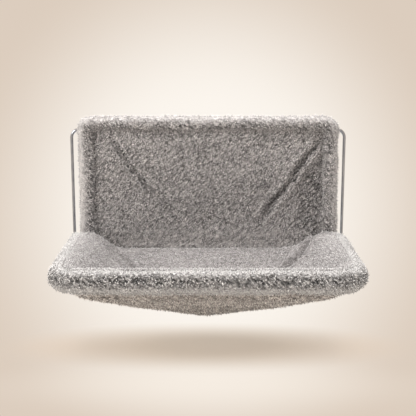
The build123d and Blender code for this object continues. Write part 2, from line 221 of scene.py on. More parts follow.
class Shader(Graph):
    """A material's tree with one Principled shader in it."""

    def __init__(self, name: str) -> None:
        """Make the material and its shader.

        Args:
            name: The material's name.
        """
        self.material = bpy.data.materials.new(name)
        self.material.use_nodes = True
        super().__init__(self.material.node_tree)
        self.tree.nodes.clear()
        self.skin = self.node("ShaderNodeBsdfPrincipled")
        self.node("ShaderNodeOutputMaterial", {"Surface": self.skin.outputs[0]})
        self.place = self.node("ShaderNodeTexCoord").outputs["Object"]

    def set(self, **values: object) -> None:
        """Set or link the shader's sockets.

        Args:
            values: Values or sockets by name, with underscores for the spaces in the names.
        """
        for key, value in values.items():
            socket = self.skin.inputs[key.replace("_", " ")]
            if isinstance(value, bpy.types.NodeSocket):
                self.tree.links.new(value, socket)
            else:
                socket.default_value = value

    def bump(self, height: object, strength: float, depth_mm: float) -> None:
        """Give the shader a bump of a given strength and depth."""
        inputs = {"Height": height, "Strength": strength, "Distance": depth_mm * MM}
        self.set(Normal=self.out("ShaderNodeBump", inputs))

    def mark(self, name: str) -> Socket:
        """Number that the mesh keeps under a name."""
        return self.node("ShaderNodeAttribute", attribute_name=name).outputs["Fac"]

    def stretched(self, scale: Place) -> Socket:
        """Object coordinates scaled by a factor on each axis."""
        return self.out("ShaderNodeMapping", {"Vector": self.place, "Scale": scale})

    def streaked(self, turn: float, stretch: float) -> Socket:
        """Object coordinates turned about Y, then drawn out along the turned Z.

        Args:
            turn: The turn in degrees.
            stretch: How much longer a pattern gets along the turned Z.

        Returns:
            The changed coordinates.
        """
        inputs = {
            "Vector": self.place,
            "Rotation": (0.0, math.radians(turn), 0.0),
            "Scale": (1.0, 1.0, stretch),
        }
        return self.out("ShaderNodeMapping", inputs, vector_type="TEXTURE")

    def shaded(self, colour: object, level: object) -> Socket:
        """Colour made darker or lighter by a level."""
        grey = self.out("ShaderNodeCombineColor", {0: level, 1: level, 2: level})
        return self.mix(1.0, colour, grey, "MULTIPLY")


class Finish(Protocol):
    """What each finish offers."""

    @property
    def name(self) -> str:
        """The finish's name."""

    def material(self) -> bpy.types.Material:
        """Build the finish's material."""


@dataclass(frozen=True)
class PlushFinish:
    """Curly plush: pale tips over roots painted darker as shade, with soft patches, streaks and fibre
    flecks.

    The mesh's gloom mark holds painted shade: dark gaps between the curls, a painted glint on the curls
    beside them, and solid painted shade in creases past crease_marks. Below zero it marks calm pile: shorter
    tufts whose roots are painted lighter, towards the tip colour.
    """

    name: str
    tip: Colour
    # The roots' colour is painted shade between the tufts.
    root: Colour
    patch: float = 0.10
    patch_scale: float = 38.0
    fleck: float = 0.16
    fleck_scale: float = 900.0
    strand_scale: float = 1400.0
    sheen: float = 0.25
    sheen_tint: Colour = (0.95, 0.93, 0.92, 1.0)
    streak: float = 0.22
    streak_scale: float = 420.0
    streak_turn: float = 45.0
    streak_stretch: float = 2.0
    tuft_levels: Span = (0.86, 1.10)
    # Painted shade in the gaps between curls, a painted glint on the curls beside them, and painted crease
    # shade:
    curl_scale: float = 250.0
    curl_gap: Span = (0.42, 0.56)
    painted_glint: float = 0.1
    gap_shade: float = 0.82
    crease_marks: Span = (1.1, 1.7)
    crease_shade: float = 0.8
    # Calm pile: roots painted lighter, fainter streaks and a level lowered by calm_shade:
    calm_roots: float = 0.7
    calm_streaks: float = 0.75
    calm_shade: float = 0.20

    def gloomy(self, s: Shader, gloom: Socket, turned: Socket) -> Socket:
        """Level of the painted shade between curls, the painted glint beside it and the painted shade in
        creases.

        Args:
            s: The material's shader.
            gloom: The gloom mark.
            turned: The streaks' coordinates.

        Returns:
            The level, 1 where there is no gloom.
        """
        full = self.crease_marks[0]
        deep = s.ramp(gloom, 0.0, full, 0.0, full)
        gap = s.ramp(s.noise(turned, self.curl_scale, 1.5, 0.6), *self.curl_gap, 1.0, 0.0)
        between = s.times(deep, gap, self.gap_shade)
        shadow = s.math("MAXIMUM", between, s.ramp(gloom, *self.crease_marks, 0.0, self.crease_shade))
        lit = s.math("ADD", 1.0, s.times(deep, s.rest(gap), self.painted_glint))
        return s.math("SUBTRACT", lit, shadow)

    def level(self, s: Shader, gloom: Socket, calm: Socket, flecks: Socket) -> Socket:
        """Level of the whole pattern on the plush, its painted shade and painted glint included.

        Args:
            s: The material's shader.
            gloom: The gloom mark.
            calm: How calm the pile lies, from 0 to 1.
            flecks: The fleck noise.

        Returns:
            The level that the colour is multiplied by.
        """
        patches = s.noise(s.place, self.patch_scale, 3.0)
        turned = s.streaked(self.streak_turn, self.streak_stretch)
        lines = s.noise(turned, self.streak_scale, 2.0, 0.6)
        swing = s.times(
            s.ramp(lines, 0.36, 0.64, -self.streak, self.streak), s.rest(s.times(calm, self.calm_streaks))
        )
        return s.times(
            s.ramp(patches, 0.25, 0.75, 1.0 - self.patch, 1.0 + self.patch),
            s.ramp(s.mark("shade"), 0.0, 1.0, *self.tuft_levels),
            s.math("ADD", 1.0, swing),
            self.gloomy(s, gloom, turned),
            s.rest(s.times(calm, self.calm_shade)),
            s.ramp(flecks, 0.35, 0.65, 1.0 - self.fleck, 1.0 + self.fleck),
        )

    def material(self) -> bpy.types.Material:
        """Build the plush material.

        Returns:
            The material.
        """
        s = Shader(self.name)
        gloom = s.mark("gloom")
        calm = s.ramp(gloom, -1.0, 0.0, 1.0, 0.0)
        # The pile mark mixes the roots' painted shade into the tip colour; calm pile lifts that painted
        # shade.
        depth = s.ramp(s.mark("pile"), 0.0, 0.85, 0.0, 1.0)
        raised = s.times(s.rest(depth), s.times(calm, self.calm_roots))
        colour = s.mix(s.math("ADD", depth, raised), self.root, self.tip)
        flecks = s.noise(s.place, self.fleck_scale, 2.0, 0.7)
        s.set(
            Base_Color=s.shaded(colour, self.level(s, gloom, calm, flecks)),
            Roughness=0.93,
            Sheen_Weight=self.sheen,
            Sheen_Roughness=0.55,
            Sheen_Tint=self.sheen_tint,
            Specular_IOR_Level=0.15,
        )
        strands = s.noise(s.place, self.strand_scale, 2.0, 0.8)
        s.bump(s.math("ADD", strands, flecks), strength=0.35, depth_mm=0.35)
        return s.material


@dataclass(frozen=True)
class MetalFinish:
    """Bare or plated metal with fine marks in its shine."""

    name: str
    colour: Colour
    tint: Colour
    rough: Span
    grain: Place
    cloud_scale: float = 55.0
    depth_mm: float = 0.01

    def material(self) -> bpy.types.Material:
        """Build the metal material.

        Returns:
            The material.
        """
        s = Shader(self.name)
        clouds = s.noise(s.place, self.cloud_scale, 4.0)
        marks = s.noise(s.stretched(self.grain), 1.0, 3.0, 0.6)
        s.set(
            Base_Color=s.mix(s.ramp(clouds, 0.35, 0.65, 0.0, 1.0), self.colour, self.tint),
            Metallic=1.0,
            Roughness=s.ramp(marks, 0.3, 0.7, *self.rough),
        )
        s.bump(marks, strength=0.3, depth_mm=self.depth_mm)
        return s.material


@dataclass(frozen=True)
class CoatedFinish:
    """Powder coat, nylon, rubber or thread: a dull colour with a fine skin."""

    name: str
    colour: Colour
    worn: Colour
    rough: float
    skin_scale: float
    skin_mm: float
    rough_swing: float = 0.06
    cloud_scale: float = 70.0

    def material(self) -> bpy.types.Material:
        """Build the coated material.

        Returns:
            The material.
        """
        s = Shader(self.name)
        clouds = s.noise(s.place, self.cloud_scale, 4.0)
        skin = s.noise(s.place, self.skin_scale, 2.0)
        s.set(
            Base_Color=s.mix(s.ramp(clouds, 0.45, 0.75, 0.0, 1.0), self.colour, self.worn),
            Roughness=s.ramp(skin, 0.3, 0.7, self.rough - self.rough_swing, self.rough + self.rough_swing),
        )
        s.bump(skin, strength=0.4, depth_mm=self.skin_mm)
        return s.material


@dataclass(frozen=True)
class WovenFinish:
    """Plain weave read across X and Z."""

    name: str
    warp: Colour
    weft: Colour
    threads_mm: float
    depth_mm: float = 0.12
    fray_scale: float = 1200.0
    cloud_scale: float = 40.0

    def material(self) -> bpy.types.Material:
        """Build the woven material.

        Returns:
            The material.
        """
        s = Shader(self.name)
        axes = s.axes(s.place)
        turn = math.pi / (self.threads_mm * MM)
        over = s.times(*(s.math("SINE", s.times(axes[number], turn)) for number in (0, 2)))
        fray = s.noise(s.place, self.fray_scale, 2.0)
        clouds = s.noise(s.place, self.cloud_scale, 3.0)
        colour = s.mix(s.ramp(over, -0.5, 0.5, 0.0, 1.0), self.warp, self.weft)
        level = s.times(s.ramp(fray, 0.3, 0.7, 0.85, 1.12), s.ramp(clouds, 0.3, 0.7, 0.92, 1.06))
        s.set(
            Base_Color=s.shaded(colour, level),
            Roughness=0.88,
            Sheen_Weight=0.15,
            Specular_IOR_Level=0.2,
        )
        height = s.math("ADD", s.math("ABSOLUTE", over), s.times(fray, 0.4))
        s.bump(height, strength=0.5, depth_mm=self.depth_mm)
        return s.material


@dataclass(frozen=True)
class FoamFinish:
    """Open-cell foam."""

    name: str
    colour: Colour
    cell: Colour
    cell_scale: float = 900.0
    cell_mm: float = 0.3

    def material(self) -> bpy.types.Material:
        """Build the foam material.

        Returns:
            The material.
        """
        s = Shader(self.name)
        cells = s.out("ShaderNodeTexVoronoi", {"Vector": s.place, "Scale": self.cell_scale})
        s.set(
            Base_Color=s.mix(s.ramp(cells, 0.1, 0.5, 0.0, 1.0), self.cell, self.colour),
            Roughness=0.95,
            Specular_IOR_Level=0.1,
        )
        s.bump(cells, strength=0.6, depth_mm=self.cell_mm)
        return s.material


# Lit and shaded copies of one grey plush: tips and roots set per part to paint its light, warmer under the
# seat.
PLUSH_FIELD = PlushFinish(
    "plush_field",
    tip=linear(232, 226, 223),
    root=linear(72, 67, 64),
    fleck=0.1,
    streak=0.58,
    streak_scale=300.0,
)
PLUSH_ROLL = PlushFinish(
    "plush_roll",
    tip=linear(214, 210, 207),
    root=linear(56, 51, 48),
    fleck=0.12,
    sheen=0.4,
    streak=0.5,
    streak_scale=260.0,
    streak_turn=-42.0,
    painted_glint=0.35,
)
PLUSH_BORDER = replace(
    PLUSH_ROLL, name="plush_border", tip=linear(232, 226, 223), root=linear(62, 57, 54)
)
PLUSH_LINING = PlushFinish(
    "plush_lining",
    tip=linear(198, 193, 191),
    root=linear(110, 105, 103),
    patch=0.05,
    sheen=0.35,
    streak_scale=240.0,
)
PLUSH_UNDER = PlushFinish(
    "plush_under",
    tip=linear(229, 221, 214),
    root=linear(90, 82, 76),
    streak=0.4,
    streak_scale=220.0,
    streak_turn=-60.0,
)
WIRE = MetalFinish(
    "bright_wire",
    colour=linear(188, 194, 202),
    tint=linear(168, 174, 184),
    rough=(0.12, 0.24),
    grain=(300.0, 300.0, 60.0),
)
ZINC = MetalFinish(
    "zinc_steel",
    colour=linear(196, 199, 203),
    tint=linear(178, 180, 186),
    rough=(0.26, 0.42),
    grain=(900.0, 250.0, 900.0),
)
COATED = CoatedFinish(
    "coated_steel",
    colour=linear(118, 119, 121),
    worn=linear(104, 105, 107),
    rough=0.48,
    skin_scale=520.0,
    skin_mm=0.06,
)
NYLON = CoatedFinish(
    "black_nylon",
    colour=linear(38, 38, 40),
    worn=linear(46, 46, 48),
    rough=0.5,
    skin_scale=900.0,
    skin_mm=0.03,
)
RUBBER = CoatedFinish(
    "black_rubber",
    colour=linear(30, 30, 31),
    worn=linear(42, 41, 40),
    rough=0.8,
    skin_scale=1300.0,
    skin_mm=0.05,
)
THREAD = CoatedFinish(
    "thread",
    colour=linear(150, 146, 143),
    worn=linear(120, 116, 113),
    rough=0.8,
    skin_scale=1500.0,
    skin_mm=0.08,
)
BACKING = WovenFinish(
    "backing_cloth", warp=linear(128, 124, 122), weft=linear(104, 101, 99), threads_mm=0.9
)
TAPE = WovenFinish(
    "fastener_tape", warp=linear(52, 52, 53), weft=linear(34, 34, 35), threads_mm=0.7, depth_mm=0.3
)
LABEL = WovenFinish(
    "label_cloth", warp=linear(236, 234, 230), weft=linear(222, 220, 216), threads_mm=0.35, depth_mm=0.05
)
FOAM = FoamFinish("foam", colour=linear(226, 222, 212), cell=linear(160, 155, 146))


class Wardrobe:
    """Builds each finish once and hands out its material."""

    def __init__(self) -> None:
        """Start with no materials."""
        self.made: dict[str, bpy.types.Material] = {}

    def material(self, finish: Finish) -> bpy.types.Material:
        """Give a finish's material.

        Args:
            finish: The finish, which is built the first time it is asked for.

        Returns:
            Its material.
        """
        if finish.name not in self.made:
            self.made[finish.name] = finish.material()
        return self.made[finish.name]


WARDROBE = Wardrobe()


def link(name: str, data: bpy.types.ID) -> Shape:
    """Put new data into the scene.

    Args:
        name: The new object's name.
        data: What the object holds.

    Returns:
        The new object, at the origin.
    """
    made = bpy.data.objects.new(name, data)
    bpy.context.scene.collection.objects.link(made)
    return made


def shell(
    name: str,
    points: Array,
    faces: Sequence[Sequence[int]],
    marks: dict[str, Array] | None = None,
    outwards: bool = True,
) -> Shape:
    """Make a smooth mesh object from points in millimetres.

    Args:
        name: The piece's name.
        points: Its points, one row each.
        faces: Its faces as point numbers.
        marks: Numbers kept on the points, by attribute name.
        outwards: Whether its faces are turned outwards after it is made.

    Returns:
        The new object at the origin.
    """
    mesh = bpy.data.meshes.new(name)
    mesh.from_pydata((np.asarray(points, float) * MM).tolist(), [], [tuple(f) for f in faces])
    for key, values in (marks or {}).items():
        layer = mesh.attributes.new(key, "FLOAT", "POINT")
        layer.data.foreach_set("value", np.asarray(values, np.float32))
    if outwards:
        grown = bmesh.new()
        grown.from_mesh(mesh)
        bmesh.ops.recalc_face_normals(grown, faces=grown.faces)
        grown.to_mesh(mesh)
        grown.free()
    mesh.polygons.foreach_set("use_smooth", [True] * len(mesh.polygons))
    return link(name, mesh)


def wires(name: str, lines: Sequence[Sequence[Place]]) -> Shape:
    """Make a mesh of edges only, along which small things are set.

    Args:
        name: The line's name.
        lines: Open lines of places in millimetres.

    Returns:
        The edge mesh.
    """
    points: list[Place] = []
    edges: list[tuple[int, int]] = []
    for line in lines:
        edges += [(len(points) + n, len(points) + n + 1) for n in range(len(line) - 1)]
        points += [tuple(v * MM for v in place) for place in line]
    mesh = bpy.data.meshes.new(name)
    mesh.from_pydata(points, edges, [])
    return link(name, mesh)


def join(name: str, pieces: Sequence[Shape]) -> Shape:
    """Join pieces into one mesh.

    Args:
        name: The joined piece's name.
        pieces: The pieces, which are removed.

    Returns:
        The joined piece.
    """
    grown = bmesh.new()
    for piece in pieces:
        grown.from_mesh(piece.data)
        bpy.data.objects.remove(piece)
    mesh = bpy.data.meshes.new(name)
    grown.to_mesh(mesh)
    grown.free()
    return link(name, mesh)


def dress(piece: Shape, finish: Finish) -> Shape:
    """Give a piece one finish.

    Args:
        piece: The piece.
        finish: Its finish, in place of any that it had.

    Returns:
        The same piece.
    """
    piece.data.materials.clear()
    piece.data.materials.append(WARDROBE.material(finish))
    return piece


def resample(line: Array, step: float, extra: int = 0, closed: bool = False) -> tuple[Array, Array]:
    """Sample a line of straight runs at even distances.

    Args:
        line: The line's places, one row each.
        step: The distance between samples.
        extra: How many samples there are beyond one for each step.
        closed: Whether the line ends where it starts, so that its last place is left out.

    Returns:
        The distances along the line, and the places there.
    """
    lengths = np.concatenate([[0], np.cumsum(np.linalg.norm(np.diff(line, axis=0), axis=1))])
    count = int(lengths[-1] / step) + extra
    even = np.linspace(0, lengths[-1], count, endpoint=not closed)
    places = np.stack([np.interp(even, lengths, line[:, k]) for k in range(line.shape[1])], axis=1)
    return even, places


def grid_faces(rows: int, columns: int, wrap: bool, first: int = 0) -> Faces:
    """Faces between the points of a grid.

    Args:
        rows: How many rows the grid has.
        columns: How many points each row has.
        wrap: Whether each row closes on itself.
        first: The number of the grid's first point.

    Returns:
        Four-sided faces as point numbers.
    """
    faces = []
    for row in range(rows - 1):
        start = first + row * columns
        for column in range(columns if wrap else columns - 1):
            after = (column + 1) % columns
            faces.append((start + column, start + after, start + columns + after, start + columns + column))
    return faces


def turned_over(faces: Faces) -> Faces:
    """The same faces seen from their other side."""
    return [tuple(reversed(face)) for face in faces]


def capped(rings: Array, tips: Array) -> tuple[Array, Faces]:
    """Close a tube of rings with a fan at each end.

    Args:
        rings: Rings of points, from one end to the other.
        tips: The points in the middle of the two ends.

    Returns:
        All points, and the faces between them.
    """
    count, sides = rings.shape[:2]
    points = np.concatenate([rings.reshape(-1, 3), tips])
    faces = grid_faces(count, sides, True)
    total, last = count * sides, (count - 1) * sides
    for column in range(sides):
        after = (column + 1) % sides
        faces += [(total, after, column), (total + 1, last + column, last + after)]
    return points, faces


def slab(name: str, face: Array, rear: Array, gloom: Array | None = None) -> Shape:
    """Close two matching grids into one thin shell with pile on its face.

    Args:
        name: The shell's name.
        face: Grid of points on the pile side.
        rear: Grid of points on the other side.
        gloom: Painted shade between the curls at each point of the face, and calm pile below zero.

    Returns:
        The closed shell.
    """
    rows, columns = face.shape[:2]
    count = rows * columns
    faces = grid_faces(rows, columns, False)
    faces += turned_over(grid_faces(rows, columns, False, count))
    rim = list(range(columns))
    rim += [r * columns + columns - 1 for r in range(1, rows)]
    rim += [(rows - 1) * columns + c for c in range(columns - 2, -1, -1)]
    rim += [r * columns for r in range(rows - 2, 0, -1)]
    for here, after in zip(rim, rim[1:] + rim[:1]):
        faces.append((here, here + count, after + count, after))
    points = np.concatenate([face.reshape(-1, 3), rear.reshape(-1, 3)])
    marks = {"cover": np.concatenate([np.ones(count), np.zeros(count)])}
    if gloom is not None:
        marks["gloom"] = np.concatenate([gloom.reshape(-1), np.zeros(count)])
    return shell(name, points, faces, marks)


def dish(name: str, rings: Array, thick: float) -> Shape:
    """Close nested rings into a thin dish with pile on its first side.

    Args:
        name: The dish's name.
        rings: Rings of points from the middle outwards. The first ring is one place repeated.
        thick: How far the other side lies above the first.

    Returns:
        The closed dish.
    """
    count, columns = rings.shape[0] - 1, rings.shape[1]
    sides = []
    for grid in (rings, rings + np.array([0.0, 0.0, thick])):
        sides.append(np.concatenate([grid[0, :1], grid[1:].reshape(-1, 3)]))
    half = len(sides[0])
    faces: Faces = []
    for first in (0, half):
        fan = [(first, first + 1 + c, first + 1 + (c + 1) % columns) for c in range(columns)]
        side = grid_faces(count, columns, True, first + 1) + turned_over(fan)
        faces += side if first == 0 else turned_over(side)
    edge = 1 + (count - 1) * columns
    for column in range(columns):
        here, after = edge + column, edge + (column + 1) % columns
        faces.append((here, after, after + half, here + half))
    cover = np.concatenate([np.ones(half), np.zeros(half)])
    return shell(name, np.concatenate(sides), faces, {"cover": cover})


def plate(name: str, x: Span, y: Span, z: Span, slack: float) -> Shape:
    """Make an upright sheet of cloth with a little slack in it.

    Args:
        name: The sheet's name.
        x: Its ends on X.
        y: Its front and rear faces on Y.
        z: Its ends on Z.
        slack: How far it swells.

    Returns:
        The closed sheet.
    """
    cell = 4
    wide, high = (max(int((end - start) / cell), 4) for start, end in (x, z))
    xs, zs = np.meshgrid(np.linspace(*x, wide), np.linspace(*z, high))
    swell = ripple(xs, slack, 23.0, zs / 61.0) * ripple(zs, 1.0, 29.0, -xs / 83.0)
    front, rear = (np.stack([xs, depth + swell, zs], axis=-1) for depth in y)
    return slab(name, front, rear)


def pipe(name: str, start: Place, end: Place, outer: float, bore: float) -> Shape:
    """Make a straight foam pipe with soft edges and a bore.

    Args:
        name: The pipe's name.
        start: The middle of its first end.
        end: The middle of its last end.
        outer: Its outside radius.
        bore: Its bore's radius.

    Returns:
        The closed pipe.
    """
    edge, spacing, sides, dent = 1.2, 8, 28, 0.12
    first, last = np.array(start, float), np.array(end, float)
    length = float(np.linalg.norm(last - first))
    way = (last - first) / length
    side = np.cross(way, (0.0, 0.0, 1.0) if abs(way[2]) < 0.5 else (1.0, 0.0, 0.0))
    side /= np.linalg.norm(side)
    up = np.cross(side, way)
    stations = np.linspace(edge, length - edge, max(int(length / spacing), 4))
    profile = [(0.0, bore), (0.0, outer - edge)] + [(p, outer) for p in stations]
    profile += [(length, outer - edge), (length, bore)] + [(p, bore) for p in stations[::-1]]
    turns = np.linspace(0, FULL_TURN, sides, endpoint=False)
    rows = []
    for place, size in profile:
        wave = dent * np.sin(place / 5.0 + 3 * turns) if size == outer else 0.0
        ring = side[None] * (np.cos(turns) * (size - np.abs(wave)))[:, None]
        ring = ring + up[None] * (np.sin(turns) * (size - np.abs(wave)))[:, None]
        rows.append(first + way * place + ring)
    faces = grid_faces(len(profile), sides, True)
    loop = (len(profile) - 1) * sides
    faces += [(loop + c, loop + (c + 1) % sides, (c + 1) % sides, c) for c in range(sides)]
    return shell(name, np.array(rows).reshape(-1, 3), faces)


def tube(name: str, path: Array, radius: float, sides: int = 20) -> Shape:
    """Make a closed stuffed tube along a path in space.

    Args:
        name: The tube's name.
        path: Places along its middle line.
        radius: Its radius.
        sides: How many points go round it.

    Returns:
        The closed tube, with pile all over.
    """
    bulge, end_sizes = 0.4, (0.45, 0.8)
    way = np.gradient(path, axis=0)
    way /= np.linalg.norm(way, axis=1)[:, None]
    side = np.cross(way, (0.0, 0.0, 1.0))
    side /= np.linalg.norm(side, axis=1)[:, None]
    up = np.cross(side, way)
    turns = np.linspace(0, FULL_TURN, sides, endpoint=False)
    stations = [(0, share, -1.0) for share in end_sizes]
    stations += [(row, 1.0, 0.0) for row in range(len(path))]
    stations += [(-1, share, 1.0) for share in reversed(end_sizes)]
    rings = []
    for row, share, sign in stations:
        push = (1 - share) * bulge * radius * sign
        ring = path[row] + way[row] * push + side[row] * (np.cos(turns) * radius * share)[:, None]
        rings.append(ring + up[row] * (np.sin(turns) * radius * share)[:, None])
    points, faces = capped(np.array(rings), np.array([rings[0].mean(0), rings[-1].mean(0)]))
    return shell(name, points, faces, {"cover": np.ones(len(points))})


@dataclass(frozen=True)
class Route:
    """A flat line of straight runs and round bends, sampled at even steps."""

    middle: Array
    outward: Array
    along: Array

    @classmethod
    def rounded(cls, corners: Sequence[Span], bend: float, step: float, side: int) -> Route:
        """Sample a line through corners with round bends.

        Args:
            corners: The places of the ends and corners in the plane.
            bend: The bends' radius.
            step: The distance between samples.
            side: 1 where outward is left of the way along, and -1 where it is right.

        Returns:
            The sampled route.
        """
        bend_points = 24
        spots = [np.array(c, float) for c in corners]
        points: list[Array] = [spots[0]]
        for before, here, after in zip(spots, spots[1:], spots[2:]):
            entering = (here - before) / np.linalg.norm(here - before)
            leaving = (after - here) / np.linalg.norm(after - here)
            start, centre = here - entering * bend, here - entering * bend + leaving * bend
            for turn in np.linspace(0, math.pi / 2, bend_points):
                points.append(centre + (start - centre) * math.cos(turn) + entering * bend * math.sin(turn))
        points.append(spots[-1])
        along, middle = resample(np.array(points), step, extra=1)
        way = np.gradient(middle, axis=0)
        way /= np.linalg.norm(way, axis=1)[:, None]
        return cls(middle, side * np.stack([-way[:, 1], way[:, 0]], axis=1), along)


@dataclass(frozen=True)
class Sleeve:
    """A closed stuffed sleeve along a flat route.

    Its radius is a rule of the distance along and the turn round it, where turn 0 points outwards. Its lift
    puts a place in the route's plane, and a height above it, into the frame.
    """

    route: Route
    lift: Rule
    radius: Callable[[Array, Array], Array]
    sides: int
    ball_ends: bool
    ball_steps: tuple[float, ...] = (12, 24, 36, 48, 60, 71, 81)
    flat_steps: tuple[float, ...] = (35, 62, 80)
    flat_depth: float = 0.16

    def mesh(self, name: str, cover: Rule | None = None, gloom: Rule | None = None) -> Shape:
        """Build the sleeve.

        Args:
            name: The piece's name.
            cover: Gives, from the distance along, the turn and the points, where pile grows.
            gloom: Gives from the same the painted shade between the curls, and calm pile below zero.

        Returns:
            The sleeve as an object.
        """
        turns = np.linspace(0, FULL_TURN, self.sides, endpoint=False)
        middle, outward, along = self.route.middle, self.route.outward, self.route.along
        way = np.stack([outward[:, 1], -outward[:, 0]], axis=1)
        heads = np.sign(np.sum(np.gradient(middle, axis=0) * way, axis=1))
        steps = np.radians(self.ball_steps if self.ball_ends else self.flat_steps)
        depth = 1.0 if self.ball_ends else self.flat_depth
        stations = [(0, math.cos(a), -depth * math.sin(a)) for a in steps[::-1]]
        stations += [(row, 1.0, 0.0) for row in range(len(middle))]
        stations += [(len(middle) - 1, math.cos(a), depth * math.sin(a)) for a in steps]
        rings = []
        for row, scale, push in stations:
            size = self.radius(np.full(self.sides, along[row]), turns)
            flat = middle[row] + way[row] * (float(size.mean()) * push * heads[row])
            ring = flat[None, :] + outward[row][None, :] * (np.cos(turns) * size * scale)[:, None]
            rings.append(self.lift(ring[:, 0], ring[:, 1], np.sin(turns) * size * scale))
        tips = []
        for row, sign in ((0, -1.0), (-1, 1.0)):
            size = float(self.radius(np.full(self.sides, along[row]), turns).mean())
            flat = middle[row] + way[row] * size * depth * sign * heads[row]
            tips.append(self.lift(flat[None, 0], flat[None, 1], np.zeros(1))[0])
        points, faces = capped(np.array(rings), np.array(tips))
        rows = [row for row, _, _ in stations]
        spots = np.concatenate([np.repeat(along[rows], self.sides), along[[0, -1]]])
        angles = np.concatenate([np.tile(turns, len(rows)), np.zeros(2)])
        rules = {"cover": cover, "gloom": gloom}
        marks = {key: rule(spots, angles, points) for key, rule in rules.items() if rule}
        return shell(name, points, faces, marks)


@dataclass(frozen=True)
class Crease:
    """A soft crease in cloth along a line of places, with a low welt on each side.

    Its width is half of a groove, and part is half the distance between its two grooves, where it has two.
    """

    line: tuple[Span, ...]
    width: float
    depth: float
    part: float = 0.0
    fade_in: Span = (-0.02, 0.2)
    fade_out: Span = (0.72, 1.02)
    welt: float = 0.55
    welt_widths: float = 2.1

    def relief(self, x: Array, z: Array) -> Array:
        """Change in height at each place.

        Args:
            x: First part of each place.
            z: Second part of each place.

        Returns:
            The change, below zero in the groove.
        """
        near = np.full(np.shape(x), np.inf)
        share = np.zeros(np.shape(x))
        spots = np.array(self.line, float)
        total = len(spots) - 1
        for number in range(total):
            start, run = spots[number], spots[number + 1] - spots[number]
            reach = np.clip(((x - start[0]) * run[0] + (z - start[1]) * run[1]) / (run @ run), 0, 1)
            away = np.hypot(x - start[0] - reach * run[0], z - start[1] - reach * run[1])
            share = np.where(away < near, (number + reach) / total, share)
            near = np.minimum(near, away)
        fade = smooth(share, *self.fade_in) * (1 - smooth(share, *self.fade_out))
        welt_at = self.welt_widths * self.width + self.part
        groove = -bump(near, self.part, self.width) + self.welt * bump(near, welt_at, self.width)
        return self.depth * fade * groove

    def shade(self, x: Array, z: Array) -> Array:
        """Depth of the groove alone at each place."""
        return np.clip(-self.relief(x, z), 0, None)


class GeometryTree(Graph):
    """A geometry node tree with named inputs that is applied to meshes."""

    def __init__(self, name: str, sockets: dict[str, str]) -> None:
        """Make an empty tree.

        Args:
            name: The tree's name.
            sockets: Kinds of its inputs after the geometry, by name.
        """
        super().__init__(bpy.data.node_groups.new(name, "GeometryNodeTree"))
        face = self.tree.interface
        face.new_socket("Geometry", in_out="INPUT", socket_type="NodeSocketGeometry")
        for label, kind in sockets.items():
            face.new_socket(label, in_out="INPUT", socket_type=f"NodeSocket{kind}")
        face.new_socket("Geometry", in_out="OUTPUT", socket_type="NodeSocketGeometry")
        self.given = self.node("NodeGroupInput").outputs
        self.result = self.node("NodeGroupOutput")

    def here(self) -> Socket:
        """Place of each point."""
        return self.out("GeometryNodeInputPosition")

    def mark(self, name: str) -> Socket:
        """Number that the mesh keeps under a name."""
        return self.out("GeometryNodeInputNamedAttribute", {0: name})

    def store(self, geometry: Socket, name: str, value: object, **settings: object) -> Socket:
        """Keep a number on the geometry under a name."""
        inputs = {"Geometry": geometry, "Name": name, "Value": value}
        return self.out("GeometryNodeStoreNamedAttribute", inputs, **settings)

    def chance(self, low: float, high: float, seed: object) -> Socket:
        """Random number between two values."""
        inputs = {2: low, 3: high, 8: seed}
        return self.node("FunctionNodeRandomValue", inputs, data_type="FLOAT").outputs[1]

    def shake(self, reach: float, seed: object) -> Socket:
        """Random way with each part up to a reach."""
        inputs = {0: (-reach,) * 3, 1: (reach,) * 3, 8: seed}
        return self.out("FunctionNodeRandomValue", inputs, data_type="FLOAT_VECTOR")

    def facing(self, way: Socket) -> Socket:
        """Turn that points Z along a way."""
        return self.out("FunctionNodeAlignRotationToVector", {"Vector": way}, axis="Z")

    def finish(self, geometry: Socket, soft: bool = True) -> GeometryTree:
        """Make the geometry real, dress it and send it out.

        Args:
            geometry: The finished geometry.
            soft: Whether it is shaded smooth.

        Returns:
            This tree.
        """
        geometry = self.out("GeometryNodeRealizeInstances", {0: geometry})
        if soft:
            geometry = self.out("GeometryNodeSetShadeSmooth", {0: geometry})
        inputs = {"Geometry": geometry, "Material": self.given["Finish"]}
        self.tree.links.new(self.out("GeometryNodeSetMaterial", inputs), self.result.inputs[0])
        return self

    def apply(self, source: Shape, name: str, **values: object) -> Shape:
        """Run the tree on a piece and keep the result as a plain mesh.

        Args:
            source: The piece that the tree reads.
            name: The new piece's name.
            values: The tree's inputs, with underscores for spaces.

        Returns:
            A new object with the resulting mesh and no modifier.
        """
        modifier = source.modifiers.new("shape", "NODES")
        modifier.node_group = self.tree
        for item in self.tree.interface.items_tree:
            key = item.name.replace(" ", "_")
            if item.in_out == "INPUT" and key in values:
                modifier[item.identifier] = values[key]
        ready = bpy.context.evaluated_depsgraph_get()
        mesh = bpy.data.meshes.new_from_object(source.evaluated_get(ready), depsgraph=ready)
        source.modifiers.remove(modifier)
        mesh.name = name
        return link(name, mesh)


